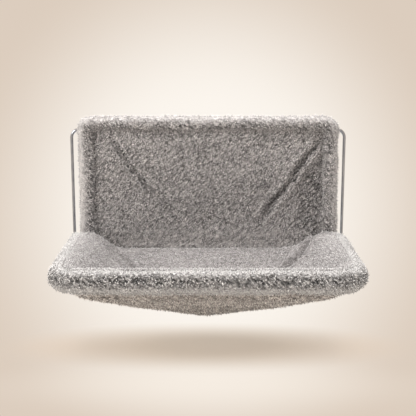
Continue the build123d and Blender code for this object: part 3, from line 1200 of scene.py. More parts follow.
def cushion_tree() -> GeometryTree:
    """Tree that gives a smooth cloth its soft lumps and marks how high each place lies.

    Returns:
        The tree.
    """
    kinds = {
        "Levels": "Int",
        "Lump": "Float",
        "Lump Scale": "Float",
        "Nap": "Float",
        "Nap Scale": "Float",
        "Finish": "Material",
    }
    g = GeometryTree("soft_lumps", kinds)
    finer = g.out("GeometryNodeSubdivideMesh", {0: g.given[0], 1: g.given["Levels"]})
    lumps = g.noise(g.here(), g.given["Lump Scale"], 1.0)
    nap = g.noise(g.here(), g.given["Nap Scale"], 2.0)
    low = g.times(g.math("SUBTRACT", lumps, 0.5), g.given["Lump"])
    high = g.times(g.math("SUBTRACT", nap, 0.5), g.given["Nap"])
    rise = g.times(g.math("ADD", low, high), g.mark("cover"))
    offset = g.scaled(g.out("GeometryNodeInputNormal"), rise)
    moved = g.out("GeometryNodeSetPosition", {"Geometry": finer, "Offset": offset})
    # Nap height picks how much root shade is painted; the lumps' height, kept as shade, paints their hollows
    # darker.
    moved = g.store(moved, "pile", g.ramp(nap, 0.3, 0.7, 0.05, 0.55))
    moved = g.store(moved, "shade", lumps)
    return g.finish(moved)


@dataclass(frozen=True)
class PileCut:
    """How a plush pile is cut: spacing, size and lie of its tufts."""

    spacing_mm: float
    length_mm: float
    width_mm: float
    lean: float
    curl_mm: float
    seed: int
    comb: Place


@dataclass(frozen=True)
class PileGrowth:
    """How each tuft is shaped and turned where the pile grows."""

    most: float = 900000.0
    swell: float = 0.9
    droop: float = 0.45
    sunk: float = 0.08
    clump_scale: float = 150.0
    swirl: float = 2.2
    stray: float = 0.5
    whole_turn: float = 6.283
    sizes: Span = (0.7, 1.25)
    calm_size: float = 0.75
    size_seed: float = 7.0
    shade_seed: float = 3.0

    def tuft(self, g: GeometryTree) -> Socket:
        """One curled tuft, marked from root to tip.

        Args:
            g: The tree that the nodes go into.

        Returns:
            The tuft's geometry.
        """
        inputs = {
            "Vertices": 3,
            "Side Segments": 2,
            "Radius Top": 0.0,
            "Radius Bottom": g.times(g.given["Width"], 0.5),
            "Depth": g.given["Length"],
        }
        cone = g.out("GeometryNodeMeshCone", inputs, fill_type="NONE")
        axes = g.axes(g.here())
        height = g.math("DIVIDE", axes[2], g.given["Length"])
        swell = g.math("ADD", 1.0, g.times(height, self.swell))
        arc = g.times(height, height, g.given["Curl"])
        across = g.math("ADD", g.times(axes[0], swell), arc)
        drop = g.math("SUBTRACT", axes[2], g.times(arc, self.droop))
        sunk = g.math("SUBTRACT", drop, g.times(g.given["Length"], self.sunk))
        spot = g.out("ShaderNodeCombineXYZ", {0: across, 1: g.times(axes[1], swell), 2: sunk})
        marked = g.store(cone, "pile", height)
        return g.out("GeometryNodeSetPosition", {"Geometry": marked, "Position": spot})

    def lie(self, g: GeometryTree, normal: Socket) -> Socket:
        """Turn of each tuft: leaning in clumps, combed and spun by chance.

        Args:
            g: The tree that the nodes go into.
            normal: The way that the cloth faces.

        Returns:
            The turn.
        """
        inputs = {"Vector": g.here(), "Scale": self.clump_scale, "Detail": 1.0}
        clump = g.node("ShaderNodeTexNoise", inputs).outputs[1]
        swirl = g.scaled(g.vector("SUBTRACT", clump, (0.5, 0.5, 0.5)), self.swirl)
        stray = g.vector("ADD", g.scaled(g.shake(1.0, g.given["Seed"]), self.stray), swirl)
        stray = g.scaled(g.vector("ADD", stray, g.given["Comb"]), g.given["Lean"])
        facing = g.facing(g.vector("ADD", normal, stray))
        spin = g.chance(0.0, self.whole_turn, g.given["Seed"])
        spun = g.out("FunctionNodeAxisAngleToRotation", {"Axis": (0.0, 0.0, 1.0), "Angle": spin})
        return g.out("FunctionNodeRotateRotation", {0: facing, 1: spun}, rotation_space="LOCAL")

    def tree(self) -> GeometryTree:
        """Tree that grows curled tufts all over a cloth where its cover mark allows them.

        Returns:
            The tree.
        """
        kinds = {
            "Spacing": "Float",
            "Length": "Float",
            "Width": "Float",
            "Lean": "Float",
            "Curl": "Float",
            "Comb": "Vector",
            "Seed": "Int",
            "Finish": "Material",
        }
        g = GeometryTree("plush_pile", kinds)
        inputs = {
            "Mesh": g.given[0],
            "Distance Min": g.given["Spacing"],
            "Density Max": self.most,
            "Density Factor": g.mark("cover"),
            "Seed": g.given["Seed"],
        }
        spread = g.node("GeometryNodeDistributePointsOnFaces", inputs, distribute_method="POISSON").outputs
        size = g.chance(*self.sizes, g.math("ADD", g.given["Seed"], self.size_seed))
        size = g.times(size, g.ramp(g.mark("gloom"), -1.0, 0.0, self.calm_size, 1.0))
        inputs = {
            "Points": spread[0],
            "Instance": self.tuft(g),
            "Rotation": self.lie(g, spread["Normal"]),
            "Scale": size,
        }
        grown = g.out("GeometryNodeInstanceOnPoints", inputs)
        shade = g.chance(0.0, 1.0, g.math("ADD", g.given["Seed"], self.shade_seed))
        return g.finish(g.store(grown, "shade", shade, domain="INSTANCE"))


def stitch_tree() -> GeometryTree:
    """Tree that sets short thread stitches along lines.

    Returns:
        The tree.
    """
    stitch_shape, crooked = (1.0, 1.0, 4.6), 0.1
    kinds = {"Pitch": "Float", "Thread": "Float", "Seed": "Int", "Finish": "Material"}
    g = GeometryTree("stitches", kinds)
    line = g.out("GeometryNodeMeshToCurve", {0: g.given[0]})
    spots = g.node(
        "GeometryNodeCurveToPoints", {"Curve": line, "Length": g.given["Pitch"]}, mode="LENGTH"
    ).outputs
    inputs = {"Segments": 6, "Rings": 5, "Radius": g.given["Thread"]}
    thread = g.out("GeometryNodeMeshUVSphere", inputs)
    thread = g.out("GeometryNodeTransform", {"Geometry": thread, "Scale": stitch_shape})
    way = g.vector("ADD", spots["Tangent"], g.shake(crooked, g.given["Seed"]))
    inputs = {"Points": spots[0], "Instance": thread, "Rotation": g.facing(way)}
    return g.finish(g.out("GeometryNodeInstanceOnPoints", inputs))


def thread_tree() -> GeometryTree:
    """Tree that winds a thread round a stud at each point of its input.

    Returns:
        The tree.
    """
    kinds = {
        "Radius": "Float", "Length": "Float", "Turns": "Float", "Ridge": "Float", "Finish": "Material"
    }
    g = GeometryTree("stud_thread", kinds)
    inputs = {
        "Resolution": 20,
        "Rotations": g.given["Turns"],
        "Start Radius": g.given["Radius"],
        "End Radius": g.given["Radius"],
        "Height": g.given["Length"],
    }
    winding = g.out("GeometryNodeCurveSpiral", inputs)
    ridge = g.out("GeometryNodeCurvePrimitiveCircle", {"Resolution": 4, "Radius": g.given["Ridge"]})
    inputs = {"Curve": winding, "Profile Curve": ridge, "Fill Caps": True}
    solid = g.out("GeometryNodeCurveToMesh", inputs)
    spots = g.out("GeometryNodeMeshToPoints", {"Mesh": g.given[0]})
    made = g.out("GeometryNodeInstanceOnPoints", {"Points": spots, "Instance": solid})
    return g.finish(made, soft=False)


@dataclass
class PlushShop:
    """Turns plain shells into plush: a lumpy cloth and the pile on it."""

    lumps: GeometryTree = field(default_factory=cushion_tree)
    tufts: GeometryTree = field(default_factory=PileGrowth().tree)
    lump_scale: float = 70.0
    nap_scale: float = 330.0

    def cloth(
        self,
        base: Shape,
        name: str,
        finish: PlushFinish,
        levels: int = 1,
        lump_mm: float = 2.2,
        nap_mm: float = 1.4,
    ) -> Shape:
        """Give a shell its soft lumps and finish.

        Args:
            base: The plain shell, which is removed.
            name: The new piece's name.
            finish: The plush finish.
            levels: How many times the shell's faces are divided.
            lump_mm: Height of the slow lumps.
            nap_mm: Height of the fine nap.

        Returns:
            The lumpy cloth.
        """
        piece = self.lumps.apply(
            base,
            name,
            Levels=levels,
            Lump=lump_mm * MM,
            Lump_Scale=self.lump_scale,
            Nap=nap_mm * MM,
            Nap_Scale=self.nap_scale,
            Finish=WARDROBE.material(finish),
        )
        bpy.data.objects.remove(base)
        return piece

    def pile(self, cloth: Shape, name: str, finish: PlushFinish, cut: PileCut) -> Shape:
        """Grow the pile on a cloth.

        Args:
            cloth: The lumpy cloth.
            name: The pile's name.
            finish: The plush finish.
            cut: Spacing, size and lie of the tufts.

        Returns:
            The pile as a piece of its own.
        """
        piece = self.tufts.apply(
            cloth,
            name,
            Spacing=cut.spacing_mm * MM,
            Length=cut.length_mm * MM,
            Width=cut.width_mm * MM,
            Lean=cut.lean,
            Curl=cut.curl_mm * MM,
            Comb=cut.comb,
            Seed=cut.seed,
            Finish=WARDROBE.material(finish),
        )
        piece.data.calc_loop_triangles()
        log.info("pile %s: %d triangles", name, len(piece.data.loop_triangles))
        return piece


@dataclass
class Piece:
    """One finished piece with the names it stands for."""

    made: Shape
    body: Body
    slot: str
    replaces: tuple[str, ...] = ()

    def place(self) -> Shape:
        """Hand the piece to the frame and log it.

        Returns:
            The piece's object.
        """
        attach(self.made, self.body.value)
        if self.replaces:
            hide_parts(*self.replaces)
        log.info("piece %s rides on %s", self.made.name, self.body.value)
        return self.made


@dataclass(frozen=True)
class Hoops:
    """Middle lines of the two hoops that the rolls and the foam follow."""

    back_x: float = 202.0
    back_y: float = -26.5
    back_top: float = 27.0
    back_foot: float = -170.4
    seat_x: float = 211.5
    seat_front: float = -285.0
    seat_z: float = -166.0
    pivot_y: float = -60.5


@dataclass(frozen=True)
class ByStretch:
    """A value along the border's top, with what its left and right legs add to it."""

    top: float
    left: float = 0.0
    right: float = 0.0

    def at(self, left: Array, right: Array) -> Array:
        """The value where the legs have these shares."""
        return self.top + self.left * left + self.right * right


@dataclass(frozen=True)
class Valley:
    """An upright soft hollow in the back's field, which ends at its foot and its head."""

    depth: float
    x: float
    reach: float
    foot: Span
    head: Span

    def at(self, x: Array, z: Array) -> Array:
        """Depth of the hollow at each place."""
        return self.depth * bump(x, self.x, self.reach) * smooth(z, *self.foot) * (1 - smooth(z, *self.head))


@dataclass
class BackPanel:
    """The upright back's plush: its border roll and the field inside it."""

    shop: PlushShop
    hoops: Hoops
    foot_gap: float = 1.8
    border_bend: float = 16.0
    border_r: float = 13.0
    pile_depth: float = 2.0
    corner_flare: float = 3.6
    flare_reach: float = 10.0
    foot_leans: Span = (0.4, 2.6)
    corner_blend: float = 12.0
    # Painted shade between the inner curls, and calm pile with lighter painted roots outside, per stretch:
    shade_depth: ByStretch = ByStretch(0.66, 0.34, 0.09)
    shade_turn: ByStretch = ByStretch(0.64, 0.12)
    shade_reach: ByStretch = ByStretch(0.5, -0.08)
    calm_depth: ByStretch = ByStretch(0.6, 0.35, -0.1)
    calm_turn: ByStretch = ByStretch(0.12, 0.10)
    calm_reach: float = 0.75
    border_cut: PileCut = PileCut(
        spacing_mm=2.7, length_mm=5.2, width_mm=2.5, lean=0.8, curl_mm=2.2, seed=11, comb=(0.25, -0.2, -0.5)
    )
    field_y: float = -32.0
    field_rear: float = -25.2
    field_x: float = 191.0
    field_z: Span = (-185.0, 17.0)
    field_grid: tuple[int, int] = (279, 147)
    edge_depth: float = 4.6
    edge_reach: float = 20.0
    top_edge: float = 0.2
    top_reach: float = 14.0
    belly: float = 3.2
    belly_z: float = -82.0
    belly_half: float = 100.0
    low_belly: float = 2.2
    low_belly_depth: Span = (168.0, 180.0)
    low_belly_x: Span = (150.0, 180.0)
    left_drift: float = 0.5
    shade_drift: float = 1.6
    valley: Valley = Valley(7.0, 166.0, 17.0, (-175.0, -120.0), (-75.0, -30.0))
    # Painted shade in the valley, folds and sides, and calm pile with lighter painted roots at the foot:
    valley_shade: Valley = Valley(0.9, 168.0, 20.0, (-178.0, -130.0), (-70.0, -25.0))
    left_fold: Crease = Crease(((-163.0, 6.0), (-126.0, -46.0), (-84.0, -102.0)), 2.0, 4.2, part=3.2)
    right_fold: Crease = Crease(((190.0, 12.0), (130.0, -76.0), (78.0, -146.0)), 4.8, 6.0)
    left_shade: float = 0.38
    left_shade_width: float = 1.7
    right_shade: float = 0.17
    right_shade_width: float = 3.4
    side_shades: Span = (0.34, 0.22)
    side_shade_reach: Span = (8.0, 26.0)
    low_calm: float = 0.3
    low_calm_z: Span = (-172.0, -128.0)
    low_calm_x: Span = (120.0, 165.0)
    field_cut: PileCut = PileCut(
        spacing_mm=2.5, length_mm=5.4, width_mm=2.3, lean=0.85, curl_mm=2.0, seed=23, comb=(-0.5, 0.0, -0.5)
    )

    def border_base(self) -> Shape:
        """Make the plain border roll with its pile and gloom marks.

        Returns:
            The plain roll.
        """
        side, foot = self.hoops.back_x, self.hoops.back_foot + self.foot_gap
        corners = [(-side, foot), (-side, self.hoops.back_top), (side, self.hoops.back_top), (side, foot)]
        route = Route.rounded(corners, self.border_bend, step=2.6, side=1)
        bend_at = self.hoops.back_top - self.hoops.back_foot - self.foot_gap
        bend_at = bend_at - self.border_bend * (2 - math.pi / 2) / 2 - 4.0
        middle = route.along[-1] / 2

        def radius(along: Array, turn: Array) -> Array:
            """Radius of the roll, fuller at its corners and feet.

            Args:
                along: Distance along the roll.
                turn: Turn round it.

            Returns:
                The radius at each place.
            """
            off = np.abs(along - middle)
            flare = bump(off, middle - bend_at, self.flare_reach)
            outer = np.clip(np.cos(turn), 0, 1)
            wave = ripple(along, 0.45, 17.0, 2 * np.sin(turn)) + ripple(along, 0.3, 7.3, 3 * turn)
            left_lean, right_lean = self.foot_leans
            lean = np.where(along > middle, right_lean, left_lean) * smooth(off, middle - bend_at, middle)
            return self.border_r - self.pile_depth + (self.corner_flare * flare + lean) * outer + wave

        def lift(x: Array, z: Array, rise: Array) -> Array:
            """Places of the roll's points, with their rise towards the viewer."""
            return np.stack([x, self.hoops.back_y - rise, z], axis=1)

        def cover(along: Array, turn: Array, points: Array) -> Array:
            """Pile all over."""
            return np.ones(len(along))

        def gloom(along: Array, turn: Array, points: Array) -> Array:
            """Painted shade between the curls on the inner side, and calm pile with roots painted
            lighter on the outer one.

            Args:
                along: Distance along the roll.
                turn: Turn round it.
                points: The roll's points.

            Returns:
                The gloom mark of each point.
            """
            wander = ripple(along, 0.12, 23.0) + ripple(along, 0.10, 9.0)
            blend, far_bend = self.corner_blend, 2 * middle - bend_at
            left = 1 - smooth(along, bend_at - blend, bend_at + blend)
            right = smooth(along, far_bend - blend, far_bend + blend)
            shade_turn = self.shade_turn.at(left, right) * math.pi
            dark = bump(turn + wander, shade_turn, self.shade_reach.at(left, right))
            calm = round_bump(turn, self.calm_turn.at(left, right) * math.pi, self.calm_reach)
            return self.shade_depth.at(left, right) * dark - self.calm_depth.at(left, right) * calm

        sleeve = Sleeve(route, lift, radius, sides=30, ball_ends=False)
        return sleeve.mesh("border_base", cover, gloom)

    def border(self) -> None:
        """Make the border roll and its pile."""
        cloth = self.shop.cloth(self.border_base(), "back_border_cover", PLUSH_BORDER)
        pile = self.shop.pile(cloth, "back_border_pile", PLUSH_BORDER, self.border_cut)
        Piece(cloth, Body.HANGER, "plush_roll", ("back_border_roll",)).place()
        Piece(pile, Body.HANGER, "plush_roll").place()

    def drift(self, z: Array) -> Array:
        """How far the folds wander sideways at each height."""
        return ripple(z, 1.6, 9.0) + ripple(z, 1.0, 4.3, 1.0)

    def field_place(self, x: Array, z: Array) -> Array:
        """Depth on Y of the plush field's face.

        Args:
            x: X of each place.
            z: Z of each place.

        Returns:
            Y of each place.
        """
        side = 1 - smooth(self.field_x - np.abs(x), 0.0, self.edge_reach)
        edge = np.maximum(side, self.top_edge * (1 - smooth(self.field_z[1] - z, 0.0, self.top_reach)))
        height = np.clip((z - self.belly_z) / self.belly_half, -1, 1)
        belly = self.belly * (1 - (x / self.field_x) ** 4) * (1 - height**4)
        low = self.low_belly * smooth(-z, *self.low_belly_depth)
        low = low * (1 - smooth(np.abs(x), *self.low_belly_x))
        belly = np.maximum(belly, low)
        drift = self.drift(z)
        relief = self.left_fold.relief(x + self.left_drift * drift, z)
        relief = relief + self.right_fold.relief(x + drift, z)
        slack = ripple(x, 0.8, 31.0, z / 47.0) + ripple(z, 0.6, 19.0, -x / 63.0)
        flat = self.field_y + self.pile_depth + self.edge_depth * edge
        return flat - belly - relief + self.valley.at(x, z) - slack * (1 - edge)

    def field_gloom(self, x: Array, z: Array) -> Array:
        """Gloom mark of the plush field: painted shade in its folds, its valley and along its sides,
        and calm pile at its foot, with roots painted lighter where the seat shades it.

        Args:
            x: X of each place.
            z: Z of each place.

        Returns:
            The mark at each place.
        """
        drift = self.drift(z)
        left = replace(self.left_fold, width=self.left_shade_width)
        right = replace(self.right_fold, width=self.right_shade_width, part=self.left_fold.part)
        gloom = self.left_shade * left.shade(x + self.left_drift * drift, z)
        gloom = gloom + self.right_shade * right.shade(x + self.shade_drift * drift, z)
        gloom = gloom + self.valley_shade.at(x, z)
        sides = 1 - smooth(self.field_x - np.abs(x), *self.side_shade_reach)
        gloom = gloom + np.where(x < 0, *self.side_shades) * sides
        foot = (1 - smooth(z, *self.low_calm_z)) * (1 - smooth(np.abs(x), *self.low_calm_x))
        return gloom - self.low_calm * foot

    def field(self) -> None:
        """Make the plush field, a soft sheet inside the border, and its pile."""
        wide, high = self.field_grid
        x, z = np.meshgrid(
            np.linspace(-self.field_x, self.field_x, wide), np.linspace(*self.field_z, high)
        )
        face = np.minimum(self.field_place(x, z), self.field_rear - 1.0)
        front = np.stack([x, face, z], axis=-1)
        rear = np.stack([x, np.full_like(x, self.field_rear), z], axis=-1)
        base = slab("field_base", front, rear, self.field_gloom(x, z))
        cloth = self.shop.cloth(base, "back_field_plush", PLUSH_FIELD, levels=0, lump_mm=1.6, nap_mm=1.2)
        pile = self.shop.pile(cloth, "back_field_pile", PLUSH_FIELD, self.field_cut)
        Piece(cloth, Body.HANGER, "plush_field", ("back_front_cloth",)).place()
        Piece(pile, Body.HANGER, "plush_field").place()

    def build(self) -> None:
        """Make the border and the field."""
        self.border()
        self.field()


@dataclass
class Seat:
    """The hammock seat: rim roll, lining, under cloth and rear hem."""

    shop: PlushShop
    hoops: Hoops
    bend: float = 34.0
    rim_r: float = 19.5
    pile_depth: float = 2.0
    apex_y: float = -163.8
    ear_face: float = 213.2
    ear_gap: float = 8.0
    corner_pinch: float = 1.2
    pinch_reach: float = 16.0
    top_part: float = 1.4
    top_part_turn: Span = (1.6, 0.5)
    side_part: float = 1.3
    side_part_turn: Span = (0.2, 0.30)
    hidden_side: float = -0.62
    bare_end: float = 12.0
    # Painted shade between the outer curls, and calm pile with lighter painted roots on legs, top and
    # underside:
    shade_depth: float = 1.05
    shade_turn: float = 0.26
    shade_reach: float = 0.42
    leg_blend: float = 34.0
    leg_light: float = 0.7
    leg_calm: float = 0.95
    leg_calm_start: Span = (0.1, 0.7)
    leg_calm_end: Span = (3.0, 3.6)
    top_calm: float = 0.95
    top_calm_turn: Span = (1.5, 0.6)
    low_calm: float = 0.9
    low_calm_turn: Span = (5.4, 0.5)
    rim_cut: PileCut = PileCut(
        spacing_mm=2.9, length_mm=5.9, width_mm=2.7, lean=0.8, curl_mm=2.5, seed=31, comb=(0.25, 0.0, -0.4)
    )
    cloth_thick: float = 2.2
    cloth_gap: float = 6.5
    bowl_low: float = -246.0
    bowl_rise: float = 66.0
    bowl_reach: tuple[float, float, float, float] = (204.0, 116.0, 114.0, 0.10)
    ridge_reach: float = 0.10
    ridge_rise: float = 0.025
    crown_gap: float = 1.4
    crown_fall: float = 1.6
    crown_reach: float = 11.0
    side_bank: Span = (12.0, 70.0)
    front_bank: Span = (9.0, 34.0)
    rear_swell: float = 5.5
    rear_swell_x: Span = (155.0, 26.0)
    rear_swell_y: Span = (-105.0, -50.0)
    slack_inset: Span = (20.0, 60.0)
    slack_rear: Span = (-70.0, -45.0)
    lining_inset: float = 3.0
    lining_rings: int = 74
    skirt_rear: Span = (-70.0, -48.0)
    skirt_drop: float = 4.0
    skirt_foot: float = -194.0
    skirt_bulge: float = 1.2
    skirt_rings: int = 10
    lining_rear: tuple[Span, ...] = (
        (0.0, -38.0), (150.0, -38.5), (172.0, -41.0), (190.0, -45.0), (203.0, -54.0), (208.5, -68.0)
    )
    left_fold: Crease = Crease(((-155.0, -46.0), (-138.0, -62.0), (-112.0, -92.0)), 4.0, 4.6)
    right_fold: Crease = Crease(((188.0, -42.0), (161.0, -58.0), (140.0, -70.0), (118.0, -88.0)), 5.0, 9.0)
    lining_cut: PileCut = PileCut(
        spacing_mm=2.4, length_mm=3.8, width_mm=2.2, lean=0.8, curl_mm=1.4, seed=41, comb=(0.1, -0.3, 0.0)
    )
    slope_low: float = -256.0
    slope_rise: float = 68.0
    slope_reach: tuple[float, float, float, float] = (196.0, 117.5, 143.0, 0.07)
    roll_tuck: float = 4.0
    under_bank: Span = (4.0, 20.0)
    under_slack: Span = (18.0, 45.0)
    under_inset: float = 6.0
    under_rings: int = 72
    under_rear: tuple[Span, ...] = (
        (0.0, -43.5), (160.0, -44.0), (178.0, -47.0), (192.0, -53.0), (201.0, -60.0), (205.5, -70.0)
    )
    under_fold: Crease = Crease(((40.0, -262.0), (24.0, -230.0), (8.0, -180.0)), 5.0, 2.5)
    under_cut: PileCut = PileCut(
        spacing_mm=2.7, length_mm=4.4, width_mm=2.3, lean=0.8, curl_mm=1.6, seed=53, comb=(0.3, 0.2, 0.0)
    )
    hem_r: float = 7.0
    hem_low: Place = (152.0, -41.5, -194.0)
    hem_turn: Place = (164.0, -42.5, -192.5)
    hem_rise: Place = (180.0, 6.8, -10.0)
    hem_end: Place = (188.5, 1.0, -1.5)
    hem_cut: PileCut = PileCut(
        spacing_mm=2.6, length_mm=3.0, width_mm=1.9, lean=0.9, curl_mm=1.2, seed=61, comb=(0.0, 0.2, 0.0)
    )

    def rim_base(self) -> Shape:
        """Make the plain rim roll, flat where the hinge ears stand, with its pile and gloom marks.

        Returns:
            The plain roll.
        """
        side, front, pivot = self.hoops.seat_x, self.hoops.seat_front, self.hoops.pivot_y
        corners = [(-side, pivot), (-side, front), (side, front), (side, pivot)]
        route = Route.rounded(corners, self.bend, step=2.6, side=-1)
        middle = route.along[-1] / 2
        corner = middle - (side - self.bend) - 0.25 * math.pi * self.bend

        def radius(along: Array, turn: Array) -> Array:
            """Radius of the roll, pinched inside its corners and parted along its top and side.

            Args:
                along: Distance along the roll.
                turn: Turn round it.

            Returns:
                The radius at each place.
            """
            inward = np.clip(-np.cos(turn), 0, 1)
            pinch = bump(np.abs(along - middle), middle - corner, self.pinch_reach) * inward
            wave = ripple(along, 0.5, 21.0, 2 * np.sin(turn)) + ripple(along, 0.35, 8.3, 3 * turn)
            part = self.side_part * round_bump(turn, *self.side_part_turn)
            part = part + self.top_part * bump(turn, *self.top_part_turn)
            return self.rim_r - 1.5 * self.pile_depth - self.corner_pinch * pinch - part + wave

        def lift(x: Array, y: Array, rise: Array) -> Array:
            """Places of the roll's points, held back where the hinge ears stand.

            Args:
                x: X of each point.
                y: Y of each point.
                rise: Height of each point above the seat hoop.

            Returns:
                The points.
            """
            points = np.stack([x, y, self.hoops.seat_z + rise], axis=1)
            low = (points[:, 1] > pivot - self.ear_gap) & (rise < self.ear_gap)
            wide = np.where(low, np.minimum(np.abs(points[:, 0]), self.ear_face), np.abs(points[:, 0]))
            points[:, 0] = np.sign(points[:, 0]) * wide
            return points

        def cover(along: Array, turn: Array, points: Array) -> Array:
            """Pile where the roll shows, clear of the lining and the hinge ears.

            Args:
                along: Distance along the roll.
                turn: Turn round it.
                points: The roll's points.

            Returns:
                1 where pile grows and 0 elsewhere.
            """
            inside = np.abs(along - middle) < middle - self.bare_end
            hidden = (np.cos(turn) < self.hidden_side) & inside
            flat = np.abs(np.abs(points[:, 0]) - self.ear_face) < 0.01
            return np.where(hidden | flat, 0.0, 1.0)

        def gloom(along: Array, turn: Array, points: Array) -> Array:
            """Painted shade between the curls on the outer side, less on the legs, and calm pile
            with roots painted lighter on the legs, the top and the underside.

            Args:
                along: Distance along the roll.
                turn: Turn round it.
                points: The roll's points.

            Returns:
                The gloom mark of each point.
            """
            away = turn - self.shade_turn
            near = np.minimum(np.abs(away), np.abs(away - FULL_TURN))
            wander = ripple(along, 0.10, 31.0) + ripple(along, 0.07, 12.0)
            dark = self.shade_depth * bump(near + wander, 0.0, self.shade_reach)
            leg = smooth(np.abs(along - middle), corner, corner + self.leg_blend)
            dark = dark * (1 - self.leg_light * leg)
            calm = self.leg_calm * leg * smooth(turn, *self.leg_calm_start)
            calm = calm * (1 - smooth(turn, *self.leg_calm_end))
            top = self.top_calm * bump(turn, *self.top_calm_turn)
            low = self.low_calm * bump(turn, *self.low_calm_turn)
            return np.maximum(dark - top - low - calm, -1.0)

        return Sleeve(route, lift, radius, sides=40, ball_ends=True).mesh("rim_base", cover, gloom)

    def rim(self) -> None:
        """Make the rim roll and its pile."""
        cloth = self.shop.cloth(self.rim_base(), "seat_rim_cover", PLUSH_ROLL, lump_mm=2.4, nap_mm=1.6)
        pile = self.shop.pile(cloth, "seat_rim_pile", PLUSH_ROLL, self.rim_cut)
        Piece(cloth, Body.SEAT, "plush_roll", ("seat_rim_roll",)).place()
        Piece(pile, Body.SEAT, "plush_roll").place()

    def inset(self, x: Array, y: Array) -> Array:
        """Distance inwards from the rim's middle line.

        Args:
            x: X of each place.
            y: Y of each place.

        Returns:
            The distance of each place.
        """
        side, fore = self.hoops.seat_x - np.abs(x), y - self.hoops.seat_front
        corner = self.bend - np.hypot(self.bend - side, self.bend - fore)
        return np.where((side < self.bend) & (fore < self.bend), corner, np.minimum(side, fore))

    def pyramid(self, x: Array, y: Array, reach: tuple[float, float, float, float]) -> Array:
        """Share of the way from the sag's middle to the rim, for four flat slopes.

        Args:
            x: X of each place.
            y: Y of each place.
            reach: Reach to each side, the front and the rear, and how round the middle is.

        Returns:
            The share at each place.
        """
        side_reach, front_reach, rear_reach, soft = reach
        side = np.abs(x) / side_reach
        deep = np.where(y < self.apex_y, (self.apex_y - y) / front_reach, (y - self.apex_y) / rear_reach)
        gap = np.clip(1 - np.abs(side - deep) / self.ridge_reach, 0, 1)
        share = np.maximum(side, deep) + self.ridge_rise * gap * gap
        return np.sqrt(share * share + soft * soft) - soft

    def boundary(self, inset: float, rear: Sequence[Span], step: float) -> Array:
        """Closed outline of a cloth inside the rim.

        Args:
            inset: Its distance inwards from the rim's middle line.
            rear: Places along the rear edge, from the middle to the right.
            step: The distance between its points.

        Returns:
            Points of the outline, anticlockwise from the middle of the rear.
        """
        x, y, bend = self.hoops.seat_x - inset, self.hoops.seat_front + inset, self.bend - inset
        arc = [
            (-x + bend - bend * math.sin(a), y + bend - bend * math.cos(a))
            for a in np.linspace(math.pi / 2, 0, 16)
        ]
        left = [(-px, py) for px, py in rear[1:]] + arc
        loop = [rear[0]] + left + [(-px, py) for px, py in reversed(left)]
        return resample(np.array(loop + [loop[0]], float), step, closed=True)[1]

    def rings(
        self, outline: Array, shares: Array, height: Callable[[Array, Array], Array]
    ) -> list[Array]:
        """Rings of a cloth's points from the middle of its sag to its outline.

        Args:
            outline: The cloth's outline.
            shares: Share of the way to the outline, one for each ring.
            height: Gives the cloth's height from X and Y.

        Returns:
            The rings.
        """
        middle = np.array([0.0, self.apex_y])
        rings = []
        for share in shares:
            flat = middle + (outline - middle) * share
            rings.append(np.stack([flat[:, 0], flat[:, 1], height(flat[:, 0], flat[:, 1])], 1))
        return rings

    def lining_height(self, x: Array, y: Array) -> Array:
        """Height of the lining's face before its pile.

        Args:
            x: X of each place.
            y: Y of each place.

        Returns:
            Z of each place, always clear above the under cloth.
        """
        bowl = self.bowl_low + self.bowl_rise * self.pyramid(x, y, self.bowl_reach)
        inset = self.inset(x, y)
        top = self.hoops.seat_z + self.rim_r - self.crown_gap
        top = top - self.crown_fall * smooth(inset, 0.0, self.crown_reach)
        fore, side = y - self.hoops.seat_front, self.hoops.seat_x - np.abs(x)
        height = top + (bowl - top) * smooth(side, *self.side_bank) * smooth(fore, *self.front_bank)
        height = height + self.left_fold.relief(x, y)
        height = height + self.right_fold.relief(x, y)
        swell = self.rear_swell * bump(x, *self.rear_swell_x) * smooth(y, *self.rear_swell_y)
        height = height + swell
        slack = ripple(x, 0.9, 27.0, y / 33.0) + ripple(y, 0.7, 15.0, -x / 41.0)
        slack = slack * smooth(inset, *self.slack_inset) * (1 - smooth(y, *self.slack_rear))
        return np.maximum(height - self.pile_depth + slack, self.under_height(x, y) + self.cloth_gap)

    def lining(self) -> None:
        """Make the plush lining that runs from the rim's top into the sag, and its pile."""
        outline = self.boundary(self.lining_inset, self.lining_rear, step=2.7)
        rings = self.rings(outline, np.linspace(0, 1, self.lining_rings), self.lining_height)
        middle = np.array([0.0, self.apex_y])
        edge = rings[-1]
        behind = smooth(edge[:, 1], *self.skirt_rear)
        fall = self.skirt_drop + behind * np.clip(edge[:, 2] - self.skirt_foot, 0, None)
        away = (edge[:, :2] - middle) / np.linalg.norm(edge[:, :2] - middle, axis=1)[:, None]
        for share in np.linspace(0.06, 1, self.skirt_rings):
            skirt = edge.copy()
            skirt[:, :2] += away * (self.skirt_bulge * math.sin(share * math.pi)) * behind[:, None]
            skirt[:, 2] -= fall * share
            rings.append(skirt)
        base = dish("lining_base", np.array(rings), -self.cloth_thick)
        cloth = self.shop.cloth(base, "seat_lining", PLUSH_LINING, levels=0, lump_mm=1.4, nap_mm=1.0)
        pile = self.shop.pile(cloth, "seat_lining_pile", PLUSH_LINING, self.lining_cut)
        Piece(cloth, Body.SEAT, "plush_field", ("hammock_inner_cloth",)).place()
        Piece(pile, Body.SEAT, "plush_field").place()

